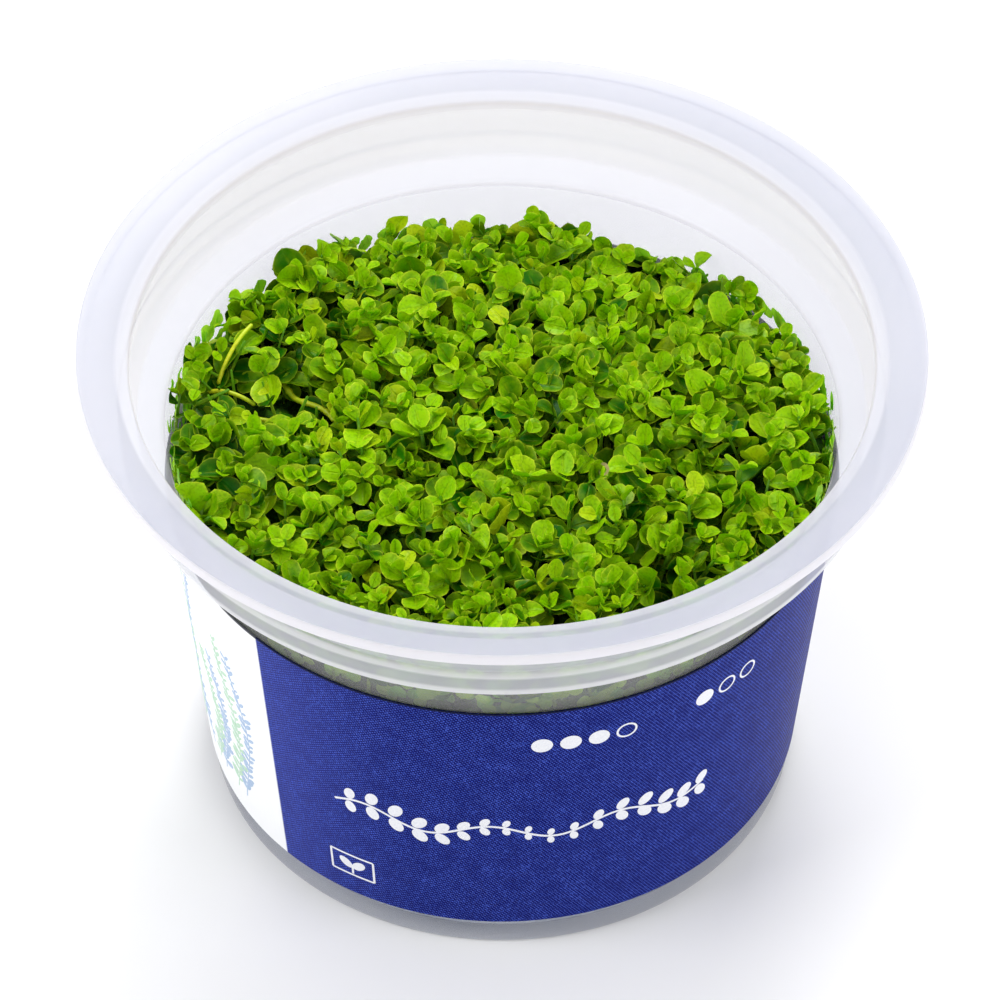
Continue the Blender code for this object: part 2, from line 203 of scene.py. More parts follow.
def lathe(profile: np.ndarray, segments: int, poles: tuple[bool, bool], ring: bool = False) -> Surface:
    """Turns a section about Z: each (radius, height) becomes radius * (sin, -cos) of the turn.

    The turn starts at the back, so that the map's seam is there and its middle is the front.

    Args:
        profile: (n, 2) radii and heights. Its outside is on its right hand.
        segments: number of steps round.
        poles: whether the section's ends lie on the axis.
        ring: whether the section closes on itself.

    Returns:
        The turned surface.
    """
    section = np.concatenate([profile, profile[:1]]) if ring else profile
    turn = TAU * np.arange(segments) / segments - math.pi
    radius = section[:, 0][:, None]
    heights = np.repeat(section[:, 1][:, None], segments, 1)
    places = np.stack([radius * np.sin(turn), -radius * np.cos(turn), heights], axis=-1)
    made = grid(places, wrap=True, poles=poles)
    if ring:
        last = len(made.points) - segments
        made.faces = np.where(made.faces >= last, made.faces - last, made.faces)
        made.points = made.points[:last]
    return made


def rounded(corners: np.ndarray, eases: np.ndarray, steps: int) -> np.ndarray:
    """Rounds every corner of a section.

    Each corner becomes the curve (1-t)^2 A + 2t(1-t) C + t^2 B, where C is the corner and A and B
    lie its ease away from it along its two sides. The two ends of the section stay as they are.

    Args:
        corners: (n, 2) places.
        eases: (n,) length that each corner gives up on both sides.
        steps: number of points on each curve.

    Returns:
        (m, 2) places of the rounded section.
    """
    middle = corners[1:-1]
    back = corners[:-2] - middle
    on = corners[2:] - middle
    start = middle + back / np.linalg.norm(back, axis=1, keepdims=True) * eases[1:-1, None]
    end = middle + on / np.linalg.norm(on, axis=1, keepdims=True) * eases[1:-1, None]
    t = np.linspace(0.0, 1.0, steps)[None, :, None]
    curve = (1 - t) ** 2 * start[:, None] + 2 * t * (1 - t) * middle[:, None] + t**2 * end[:, None]
    return np.concatenate([corners[:1], curve.reshape(-1, 2), corners[-1:]])


def unit(vectors: np.ndarray) -> np.ndarray:
    """The same directions at length one."""
    return vectors / np.maximum(np.linalg.norm(vectors, axis=-1, keepdims=True), 1e-12)


def tubes(paths: np.ndarray, radii: np.ndarray, sides: int) -> Surface:
    """Round tubes with closed ends: path + radius * (cos a * across + sin a * over).

    Across is level for a lying tube, and at right angles to X for a standing one.

    Args:
        paths: (n, k, 3) places along each tube.
        radii: (n, k) radius at each place.
        sides: number of sides.

    Returns:
        All the tubes as one surface.
    """
    count, length = radii.shape
    ahead = unit(np.gradient(paths, axis=1))
    stands = np.abs(ahead.mean(axis=1, keepdims=True)[..., 2:]) > 0.7
    side = unit(np.cross(ahead, np.where(stands, [1.0, 0.0, 0.0], [0.0, 0.0, 1.0])))
    over = np.cross(ahead, side)
    turn = TAU * np.arange(sides) / sides
    rim = np.cos(turn)[:, None] * side[:, :, None] + np.sin(turn)[:, None] * over[:, :, None]
    walls = paths[:, :, None] + radii[:, :, None, None] * rim
    first = paths[:, 0] - ahead[:, 0] * radii[:, :1]
    last = paths[:, -1] + ahead[:, -1] * radii[:, -1:]
    ends = np.stack([first, last], axis=1)
    points = np.concatenate([walls.reshape(count, -1, 3), ends], axis=1)
    ring = np.arange(length * sides).reshape(length, sides)
    turned = np.roll(ring, -1, axis=1)
    wall = np.stack([ring[:-1], turned[:-1], turned[1:], ring[1:]], axis=-1).reshape(-1, 4)
    none = np.full(sides, NO_CORNER)
    foot = np.stack([turned[0], ring[0], np.full(sides, length * sides), none], axis=-1)
    head = np.stack([ring[-1], turned[-1], np.full(sides, length * sides + 1), none], axis=-1)
    along = np.repeat(np.linspace(0.0, 1.0, length), sides)
    round_it = np.tile(np.arange(sides) / sides, length)
    flat = np.stack([along, round_it], axis=-1)
    flat = np.concatenate([flat, [[0.0, 0.0], [1.0, 0.0]]])
    return repeated(np.concatenate([wall, foot, head]), flat, points)


def repeated(faces: np.ndarray, flat: np.ndarray, points: np.ndarray) -> Surface:
    """The same net of faces laid over many sets of points.

    Args:
        faces: (m, 4) point numbers of one copy.
        flat: (k, 2) place of each of a copy's points on the map.
        points: (n, k, 3) points of the n copies.

    Returns:
        All copies as one surface.
    """
    count, size = points.shape[:2]
    moved = faces[None] + (np.arange(count) * size)[:, None, None]
    all_faces = np.where(faces[None] < 0, NO_CORNER, moved).reshape(-1, 4)
    uv = np.tile(flat[np.maximum(faces, 0)], (count, 1, 1))
    return Surface(points.reshape(-1, 3), all_faces, uv)


# Shader maths


@dataclass(frozen=True)
class Tone:
    """A shader socket that plain arithmetic works on; each operation adds its Math node."""

    bench: Bench
    socket: bpy.types.NodeSocket

    def maths(self, operation: str, *others: Tone | float, flip: bool = False) -> Tone:
        """One Math node on this value and others.

        Args:
            operation: the Math node's operation.
            others: the other values, links or numbers.
            flip: whether this value comes second.

        Returns:
            The node's result.
        """
        values = (*others, self) if flip else (self, *others)
        made = self.bench.node("ShaderNodeMath", {"operation": operation}, dict(enumerate(values)))
        return Tone(self.bench, made.outputs[0])

    def __add__(self, other: Tone | float) -> Tone:
        """The sum."""
        return self.maths("ADD", other)

    __radd__ = __add__

    def __sub__(self, other: Tone | float) -> Tone:
        """The difference."""
        return self.maths("SUBTRACT", other)

    def __rsub__(self, other: float) -> Tone:
        """The difference, with this value second."""
        return self.maths("SUBTRACT", other, flip=True)

    def __mul__(self, other: Tone | float) -> Tone:
        """The product."""
        return self.maths("MULTIPLY", other)

    __rmul__ = __mul__

    def size(self) -> Tone:
        """The value without its sign."""
        return self.maths("ABSOLUTE")

    def either(self, other: Tone | float) -> Tone:
        """The larger of two values."""
        return self.maths("MAXIMUM", other)

    def paired(self, other: Tone) -> Tone:
        """A vector of this value and another."""
        return self.bench.tone("ShaderNodeCombineXYZ", "Vector", None, {"X": self, "Y": other})

    def apart(self, x: float, y: float) -> Tone:
        """The distance of this vector from (x, y, 0)."""
        settings = {"operation": "DISTANCE"}
        return self.bench.tone("ShaderNodeVectorMath", "Value", settings, {0: self, 1: (x, y, 0.0)})

    def step(self, low: float, high: float, first: float = 0.0, last: float = 1.0) -> Tone:
        """A smooth step from one value to another.

        Args:
            low: the value where the step starts.
            high: the value where it ends.
            first: the step's value up to low.
            last: the step's value from high on.

        Returns:
            The step.
        """
        values = {"Value": self, "From Min": low, "From Max": high, "To Min": first, "To Max": last}
        settings = {"interpolation_type": "SMOOTHSTEP"}
        return self.bench.tone("ShaderNodeMapRange", "Result", settings, values)


class Bench:
    """The nodes of one material, all added by one method."""

    def __init__(self, name: str) -> None:
        """Starts an empty material of that name."""
        self.material = bpy.data.materials.new(name)
        self.material.use_nodes = True
        self.tree = self.material.node_tree
        self.tree.nodes.clear()

    def node(
        self,
        kind: str,
        settings: dict[str, object] | None = None,
        inputs: dict[str | int, object] | None = None,
    ) -> bpy.types.Node:
        """Adds one node, gives it its settings, and then its values and links.

        Args:
            kind: the node's type.
            settings: its own settings.
            inputs: a value or a Tone for each socket, by name or number.

        Returns:
            The node.
        """
        made = self.tree.nodes.new(kind)
        for key, value in (settings or {}).items():
            setattr(made, key, value)
        for key, value in (inputs or {}).items():
            if isinstance(value, Tone):
                self.tree.links.new(value.socket, made.inputs[key])
            else:
                made.inputs[key].default_value = value
        return made

    def tone(
        self,
        kind: str,
        output: str | int,
        settings: dict[str, object] | None = None,
        inputs: dict[str | int, object] | None = None,
    ) -> Tone:
        """Adds a node and gives one of its outputs."""
        return Tone(self, self.node(kind, settings, inputs).outputs[output])

    def place(self) -> Tone:
        """Places in the model's own space."""
        return self.tone("ShaderNodeTexCoord", "Object")

    def mark(self, name: str) -> Tone:
        """A named value that the mesh carries."""
        return self.tone("ShaderNodeAttribute", "Fac", {"attribute_name": name})

    def turned(self) -> tuple[Tone, Tone]:
        """The distance from the upright axis and the height, both in metres."""
        split = self.node("ShaderNodeSeparateXYZ", None, {0: self.place()})
        x, y, z = (Tone(self, socket) for socket in split.outputs)
        return (x * x + y * y).maths("SQRT"), z

    def flat(self) -> tuple[Tone, Tone]:
        """The two numbers of the piece's own map."""
        uv = self.tone("ShaderNodeUVMap", "UV", {"uv_map": "map"})
        split = self.node("ShaderNodeSeparateXYZ", None, {0: uv})
        return Tone(self, split.outputs[0]), Tone(self, split.outputs[1])

    def noise(self, scale: float, detail: float = 3.0, where: Tone | None = None) -> Tone:
        """A soft noise of that many waves to the metre."""
        values = {"Vector": where or self.place(), "Scale": scale, "Detail": detail}
        return self.tone("ShaderNodeTexNoise", "Fac", None, values)

    def mix(self, share: Tone | float, first: Tone | Colour, second: Tone | Colour) -> Tone:
        """A blend of two colours.

        Args:
            share: how much of the second there is.
            first: the first colour.
            second: the second colour.

        Returns:
            The blend.
        """
        colours = [c if isinstance(c, Tone) else (*c, 1.0) for c in (first, second)]
        made = self.node("ShaderNodeMix", {"data_type": "RGBA"}, {0: share, 6: colours[0], 7: colours[1]})
        return Tone(self, made.outputs[2])

    def bump(self, height: Tone, depth: float) -> Tone:
        """A relief of that depth in metres."""
        values = {"Height": height, "Distance": depth, "Strength": 1.0}
        return self.tone("ShaderNodeBump", "Normal", None, values)

    def principled(self, values: dict[str, object]) -> Tone:
        """The main shader, from the values of its sockets."""
        return self.tone("ShaderNodeBsdfPrincipled", 0, None, values)

    def translucent(self, colour: Colour, relief: Tone | None = None) -> Tone:
        """A shader of one colour that passes light through, scattered."""
        values = {"Color": (*colour, 1.0)} | ({"Normal": relief} if relief else {})
        return self.tone("ShaderNodeBsdfTranslucent", 0, None, values)

    def transparent(self, colour: Colour) -> Tone:
        """A shader of one colour that passes light straight through."""
        return self.tone("ShaderNodeBsdfTransparent", 0, None, {"Color": (*colour, 1.0)})

    def blend(self, share: Tone | float, first: Tone, second: Tone) -> Tone:
        """A blend of two shaders."""
        return self.tone("ShaderNodeMixShader", 0, None, {0: share, 1: first, 2: second})

    def done(self, shader: Tone) -> bpy.types.Material:
        """Sends the shader out and gives the material."""
        self.node("ShaderNodeOutputMaterial", None, {"Surface": shader})
        return self.material


# Finishes


@dataclass(frozen=True)
class LeafFinish:
    """A living leaf: mottled green, a painted rim highlight, a pale midrib and a soft gloss.

    clouds and grains are waves of noise to the metre, and relief is a depth in metres.
    """

    name: str
    fresh: Colour = (0.410, 0.750, 0.001)
    # Colour of older, lower leaves: darker from age, and darker still as painted shade.
    aged_and_shaded: Colour = (0.016, 0.160, 0.001)
    yellow: Colour = (0.640, 0.740, 0.006)
    # Painted rim highlight colour, also used faintly for the pale midrib.
    margin: Colour = (0.840, 0.980, 0.040)
    withered: Colour = (0.560, 0.440, 0.200)
    glow: Colour = (0.370, 0.800, 0.003)
    glow_share: float = 0.38
    gloss: float = 0.34
    shine: float = 0.12
    clouds: float = 650.0
    grains: float = 3200.0
    relief: float = 0.00012

    def material(self) -> bpy.types.Material:
        """Builds the material from the leaf's marks: age, hue and its own map."""
        bench = Bench(self.name)
        along, across = bench.flat()
        age = bench.mark("age")
        hue = bench.mark("hue")
        cloud = bench.noise(self.clouds, 1.0)
        grain = bench.noise(self.grains, 0.0)
        # Lower, older leaves darken towards it: partly their age, partly painted shade.
        base = bench.mix((age + (cloud - 0.5) * 0.9).step(0.0, 1.0), self.fresh, self.aged_and_shaded)
        base = bench.mix(hue.step(0.88, YELLOWED) * 0.70, base, self.yellow)
        side = ((across - 0.5) * 2.0).size()
        rib = (1.0 - side.step(0.0, 0.16)) * along.step(0.05, 0.2) * (1.0 - along.step(0.6, 0.95))
        # Painted rim highlight: paler towards the leaf's sides and tip, weaker on older leaves.
        edge = side.step(0.84, 0.98).either(along.step(0.955, 1.0))
        soft = side.step(0.45, 1.0) * 0.26
        edge = edge * (0.90 - age * 0.50)
        base = bench.mix((rib * 0.15 + edge).either(soft * (1.0 - age * 0.6)), base, self.margin)
        base = bench.mix(grain.step(0.45, 0.75) * 0.30, base, self.aged_and_shaded)
        base = bench.mix(hue.step(1.0, WITHERED), base, self.withered)
        relief = bench.bump(cloud * 0.9 - rib * 0.8, self.relief)
        leaf = bench.principled(
            {
                "Base Color": base,
                "Roughness": self.gloss + (grain - 0.5) * 0.3,
                "Normal": relief,
                "Specular IOR Level": self.shine,
            }
        )
        # Lower, older leaves also glow darker: painted shade as well as age.
        bright = (cloud * 1.2 - age * 0.5).step(0.0, 0.8)
        deep, light = bench.translucent(self.aged_and_shaded, relief), bench.translucent(self.glow, relief)
        return bench.done(bench.blend(self.glow_share, leaf, bench.blend(bright, deep, light)))


@dataclass(frozen=True)
class StemFinish:
    """A juicy stem: pale yellow-green, greener towards its head.

    blotches and grains are waves of noise to the metre, and relief is a depth in metres.
    """

    name: str
    pale: Colour = (0.400, 0.600, 0.030)
    green: Colour = (0.140, 0.390, 0.010)
    roughness: float = 0.38
    glow_share: float = 0.25
    blotches: float = 900.0
    grains: float = 2600.0
    relief: float = 0.00006

    def material(self) -> bpy.types.Material:
        """Builds the material along the stem's own map."""
        bench = Bench(self.name)
        along, _ = bench.flat()
        blotch = bench.noise(self.blotches, 1.0)
        base = bench.mix((along + (blotch - 0.5) * 1.4).step(0.1, 0.9), self.pale, self.green)
        relief = bench.bump(bench.noise(self.grains, 0.0), self.relief)
        stem = bench.principled({"Base Color": base, "Roughness": self.roughness, "Normal": relief})
        return bench.done(bench.blend(self.glow_share, stem, bench.translucent(self.pale)))


@dataclass(frozen=True)
class MassFinish:
    """The shaded depth of the mat: dark green with brown stem flecks."""

    name: str = "leaf_mass"
    deep: Colour = (0.010, 0.040, 0.003)
    green: Colour = (0.060, 0.180, 0.006)
    brown: Colour = (0.040, 0.036, 0.010)
    scales: tuple[float, float, float] = (420.0, 900.0, 1300.0)
    relief: float = 0.0006

    def material(self) -> bpy.types.Material:
        """Builds the material from three scales of noise."""
        bench = Bench(self.name)
        leaves, stems, lumps = self.scales
        base = bench.mix(bench.noise(leaves, 2.0).step(0.35, 0.70), self.deep, self.green)
        base = bench.mix(bench.noise(stems, 1.0).step(0.58, 0.75) * 0.6, base, self.brown)
        relief = bench.bump(bench.noise(lumps, 0.0), self.relief)
        mass = {"Base Color": base, "Roughness": 0.6, "Normal": relief, "Specular IOR Level": 0.08}
        return bench.done(bench.principled(mass))


@dataclass(frozen=True)
class PlasticFinish:
    """Milky moulded plastic: it scatters most of the light forward and back and lets some through.

    The tapered wall is the clearest and the flange the milkiest; the tapered wall's milk is painted
    paler as painted light. The lip and the moulded edges are painted pale as painted highlights, and
    the creases at the mouth and the ledge are painted dark as painted shade. Each edge is a radius, a
    height and how far its painted highlight reaches, in metres, and how strong it is. Each of the
    creases is a radius, a height and how far its painted shade reaches. Both are full within a core
    of their reach, and cloudy is how much of the clearness they take away.
    """

    name: str = "milky_plastic"
    milk: Colour = (0.375, 0.480, 0.690)
    pale: Colour = (0.425, 0.525, 0.730)
    # Milk of the tapered wall, painted paler as painted light where the flange and collar shade it.
    wall: Colour = (0.945, 0.930, 0.975)
    # Painted shade colour of the creases at the mouth and the inner ledge.
    crease_shade: Colour = (0.200, 0.210, 0.240)
    # Painted highlight colour of the lip and the moulded edges, also their forward glow.
    bright: Colour = (0.950, 0.940, 0.985)
    forward: Colour = (0.960, 0.860, 0.790)
    wall_forward: Colour = (0.480, 0.465, 0.545)
    clear: Colour = (0.968, 0.975, 0.982)
    wall_tint: Colour = (0.925, 0.925, 0.945)
    roughness: float = 0.26
    shine: float = 0.42
    forward_share: float = 0.56
    wall_clear: float = 0.72
    collar_clear: float = 0.59
    flange_clear: float = 0.36
    wall_bottom: float = 0.0052
    wall_top: float = 0.0552
    flange_bottom: float = 0.0645
    lip_inside: float = 0.04984
    lip_soft: float = 0.00010
    soft: float = 0.0006
    haze: float = 45.0
    cloudy: float = 0.5
    edge_core: float = 0.45
    crease_core: float = 0.2
    dark: float = 0.40
    # Rings with a painted highlight: the mouth's rim and the bead's top and bottom edges.
    edges: tuple[tuple[float, float, float, float], ...] = (
        (0.0447, 0.0659, 0.00110, 0.40),
        (0.0456, 0.0591, 0.00080, 0.95),
        (0.0456, 0.0561, 0.00095, 0.95),
    )
    # Creases with painted shade: the mouth and the inner ledge.
    creases: tuple[tuple[float, float, float], ...] = (
        (0.0439, 0.0654, 0.00040),
        (0.0402, 0.0551, 0.00045),
    )

    def near(self, spot: Tone, ring: tuple[float, float, float], core: float, most: float) -> Tone:
        """How near a moulded ring is: most within the core of its reach, 0 past the reach.

        Args:
            spot: the radius and height of a place, as a vector.
            ring: the ring's radius and height, and how far it reaches.
            core: the share of the reach that is full.
            most: the largest value.

        Returns:
            The nearness.
        """
        radius, height, reach = ring
        return spot.apart(radius, height).step(reach * core, reach, most, 0.0)

    def material(self) -> bpy.types.Material:
        """Builds the material from the regions and faint clouds of milkiness."""
        bench = Bench(self.name)
        radius, height = bench.turned()
        spot = radius.paired(height)
        # Painted highlight: paler on the lip and round the moulded edges, which also lose some clearness.
        painted_highlight = radius.step(self.lip_inside, self.lip_inside + self.lip_soft)
        for at_radius, at_height, reach, strength in self.edges:
            painted_highlight = painted_highlight.either(self.near(spot, (at_radius, at_height, reach), self.edge_core, strength))
        # Painted shade: darker in the creases at the mouth and the inner ledge.
        mouth, ledge = (self.near(spot, ring, self.crease_core, self.dark) for ring in self.creases)
        shade = mouth.either(ledge)
        above_wall = height.step(self.wall_top - self.soft, self.wall_top + self.soft)
        in_wall = height.step(self.wall_bottom, self.wall_bottom + self.soft) * (1.0 - above_wall)
        base = bench.mix(bench.noise(self.haze, 0.0).step(0.3, 0.7), self.milk, self.pale)
        # The tapered wall is painted paler as painted light.
        base = bench.mix(in_wall, base, self.wall)
        base = bench.mix(shade, base, self.crease_shade)
        body = bench.principled(
            {
                "Base Color": bench.mix(painted_highlight, base, self.bright),
                "Roughness": self.roughness,
                "Specular IOR Level": self.shine,
            }
        )
        beyond = bench.blend(in_wall, bench.translucent(self.forward), bench.translucent(self.wall_forward))
        beyond = bench.blend(painted_highlight, beyond, bench.translucent(self.bright))
        milky = bench.blend(self.forward_share, body, beyond)
        clear = bench.blend(in_wall, bench.transparent(self.clear), bench.transparent(self.wall_tint))
        in_flange = height.step(self.flange_bottom - self.soft / 2, self.flange_bottom + self.soft / 2)
        share = self.wall_clear - above_wall * (self.wall_clear - self.collar_clear)
        share = share - in_flange * (self.collar_clear - self.flange_clear)
        return bench.done(bench.blend(share * (1.0 - painted_highlight.either(shade) * self.cloudy), milky, clear))


@dataclass(frozen=True)
class LabelFinish:
    """A satin printed film: deep blue with a fine light weave, and a white panel on one side.

    edges are the two places round the cup, as shares of its way round from the back, between
    which the film is blue. Above cut, a share of its height, its upper edge lies in the shade.
    """

    name: str = "printed_label"
    blue: Colour = (0.000, 0.002, 0.108)
    # Lighter blue of a painted sheen towards the print's left edge.
    light: Colour = (0.022, 0.028, 0.200)
    lilac: Colour = (0.024, 0.010, 0.070)
    fleck: Colour = (0.075, 0.140, 0.700)
    white: Colour = (0.930, 0.940, 0.960)
    shaded: Colour = (0.004, 0.006, 0.020)
    cut: float = 0.9925
    edges: tuple[float, float] = (0.3752, 0.905)
    rows: float = 118.0
    columns: float = 690.0
    slant: float = math.radians(33.0)
    flecks: float = 3600.0
    wear: float = 420.0
    soft: float = 0.0006
    relief: float = 0.00001

    def material(self) -> bpy.types.Material:
        """Builds the material on the band's own map.

        The weave is (sin warp + 1) * (sin weft + 1) / 4, two waves at right angles, at a slant.
        """
        bench = Bench(self.name)
        along, up = bench.flat()
        lean, rest = math.cos(self.slant) * TAU, math.sin(self.slant) * TAU
        warp = (along * (self.columns * lean) + up * (self.rows * rest)).maths("SINE")
        weft = (up * (self.rows * lean) - along * (self.columns * rest)).maths("SINE")
        fleck = bench.noise(self.flecks, 0.0)
        worn = bench.noise(self.wear, 1.0)
        dots = ((warp * 0.5 + 0.5) * (weft * 0.5 + 0.5)).step(0.20, 0.85)
        weave = dots * 0.85 + fleck.step(0.50, 0.72) * 0.30
        print_blue = bench.mix(along.step(0.60, 0.76) * 0.75, self.blue, self.lilac)
        # Painted sheen: the blue turns lighter towards its left edge.
        print_blue = bench.mix((1.0 - along.step(self.edges[0], 0.46)) * 0.9, print_blue, self.light)
        print_blue = bench.mix(weave * (worn * 0.9 + 0.35), print_blue, self.fleck)
        start, end = self.edges
        inside = along.step(start - self.soft, start + self.soft)
        inside = inside * (1.0 - along.step(end - self.soft, end + self.soft))
        base = bench.mix(inside, self.white, print_blue)
        base = bench.mix(up.step(self.cut, self.cut + 0.003) * 0.9, base, self.shaded)
        relief = bench.bump(warp * weft, self.relief)
        return bench.done(
            bench.principled(
                {
                    "Base Color": base,
                    "Roughness": 0.46 + (fleck - 0.5) * 0.2,
                    "Normal": relief,
                    "Specular IOR Level": 0.04,
                }
            )
        )


@dataclass(frozen=True)
class InkFinish:
    """A printed ink: one colour with the film's own fine unevenness."""

    name: str
    colour: Colour
    faded: Colour

    def material(self) -> bpy.types.Material:
        """Builds the material from fine noise."""
        bench = Bench(self.name)
        speck = bench.noise(4200.0, 2.0)
        base = bench.mix(speck.step(0.35, 0.75) * 0.5, self.colour, self.faded)
        relief = bench.bump(speck, 0.00001)
        return bench.done(bench.principled({"Base Color": base, "Roughness": 0.45, "Normal": relief}))


@dataclass(frozen=True)
class GelFinish:
    """Pale set gel, cloudy and wet."""

    name: str = "culture_gel"
    cloudy: Colour = (0.40, 0.44, 0.50)
    pale: Colour = (0.62, 0.66, 0.70)

    def material(self) -> bpy.types.Material:
        """Builds the material from soft clouds."""
        bench = Bench(self.name)
        base = bench.mix(bench.noise(90.0, 3.0).step(0.3, 0.7), self.cloudy, self.pale)
        relief = bench.bump(bench.noise(300.0, 2.0), 0.0002)
        return bench.done(bench.principled({"Base Color": base, "Roughness": 0.15, "Normal": relief}))


@dataclass(frozen=True)
class FloorFinish:
    """Plain pale studio paper."""

    name: str = "studio_paper"
    pale: Colour = (0.880, 0.880, 0.885)
    grey: Colour = (0.860, 0.860, 0.870)

    def material(self) -> bpy.types.Material:
        """Builds the material with a trace of paper grain."""
        bench = Bench(self.name)
        base = bench.mix(bench.noise(400.0, 0.0) * 0.1, self.pale, self.grey)
        values = {"Base Color": base, "Roughness": 0.9, "Specular IOR Level": 0.0}
        return bench.done(bench.principled(values))


# The cup


@dataclass
class CultureCup:
    """The moulded cup with its foot, shoulder, collar and dished flange.

    Sizes are in metres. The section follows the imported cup's, with every corner rounded.
    """

    height: float = 0.0675
    rim_radius: float = 0.0500
    lip_height: float = 0.00165
    lip_thickness: float = 0.0009
    flange_thickness: float = 0.00095
    mouth_radius: float = 0.0439
    mouth_z: float = 0.0656
    collar_draft: float = 0.0005
    collar_radius: float = 0.0452
    bead_radius: float = 0.0456
    bead_top_z: float = 0.0594
    bead_bottom_z: float = 0.0557
    ledge_top_z: float = 0.0572
    ledge_bottom_z: float = 0.0552
    body_top_radius: float = 0.0409
    body_top_z: float = 0.0539
    base_radius: float = 0.0368
    wall: float = 0.0008
    floor_z: float = 0.0018
    foot_height: float = 0.0008
    foot_width: float = 0.0024
    segments: int = 224
    curve_steps: int = 4

    def body_radius(self, height: np.ndarray | float) -> np.ndarray | float:
        """Outer radius of the tapered wall at a height."""
        return self.base_radius + (self.body_top_radius - self.base_radius) * height / self.body_top_z

    def inner_radius(self, height: np.ndarray) -> np.ndarray:
        """Inner radius at a height: the tapered wall, then the ledge, then the collar."""
        wall = self.body_radius(height) - self.wall
        ledge_bottom = self.body_radius(self.ledge_bottom_z) - self.wall
        ledge_top = self.mouth_radius - self.collar_draft
        steps = [self.ledge_bottom_z, self.ledge_top_z, self.mouth_z]
        above = np.interp(height, steps, [ledge_bottom, ledge_top, self.mouth_radius])
        return np.where(height < self.ledge_bottom_z, wall, above)

    def section(self) -> np.ndarray:
        """The section, from the axis under the floor, up the outside and down the inside."""
        slope = (self.height - self.mouth_z) / (self.rim_radius - self.mouth_radius)

        def under(radius: float) -> float:
            """Height of the flange's underside at a radius."""
            return self.mouth_z + (radius - self.mouth_radius) * slope - self.flange_thickness

        foot_inner = self.base_radius - self.foot_width
        lip_inner = self.rim_radius - self.lip_thickness
        lip_bottom = self.height - self.lip_height
        corners = np.array(
            [
                (0.0, self.foot_height, 0.0),
                (foot_inner - self.foot_height, self.foot_height, 0.0004),
                (foot_inner, 0.0, 0.0004),
                (self.base_radius, 0.0, 0.0007),
                (self.body_top_radius, self.body_top_z, 0.0006),
                (self.bead_radius, self.bead_bottom_z, 0.0007),
                (self.bead_radius, self.bead_top_z, 0.0002),
                (self.collar_radius, self.bead_top_z + self.bead_radius - self.collar_radius, 0.0002),
                (self.collar_radius, under(self.collar_radius), 0.0004),
                (lip_inner, under(lip_inner), 0.0001),
                (lip_inner, lip_bottom, 0.0001),
                (self.rim_radius, lip_bottom, 0.0001),
                (self.rim_radius, self.height, 0.0003),
                (self.mouth_radius, self.mouth_z, 0.0005),
                (self.mouth_radius - self.collar_draft, self.ledge_top_z, 0.0004),
                (self.body_radius(self.ledge_bottom_z) - self.wall, self.ledge_bottom_z, 0.0006),
                (float(self.inner_radius(np.array(self.floor_z))), self.floor_z, 0.0015),
                (0.0, self.floor_z, 0.0),
            ]
        )
        return rounded(corners[:, :2], corners[:, 2], self.curve_steps)

    def build(self) -> bpy.types.Object:
        """Turns the section and dresses it in milky plastic."""
        cup = lathe(self.section(), self.segments, poles=(True, True))
        return cup.piece("cup_body", PlasticFinish().material(), Slot.PLASTIC, "cup")


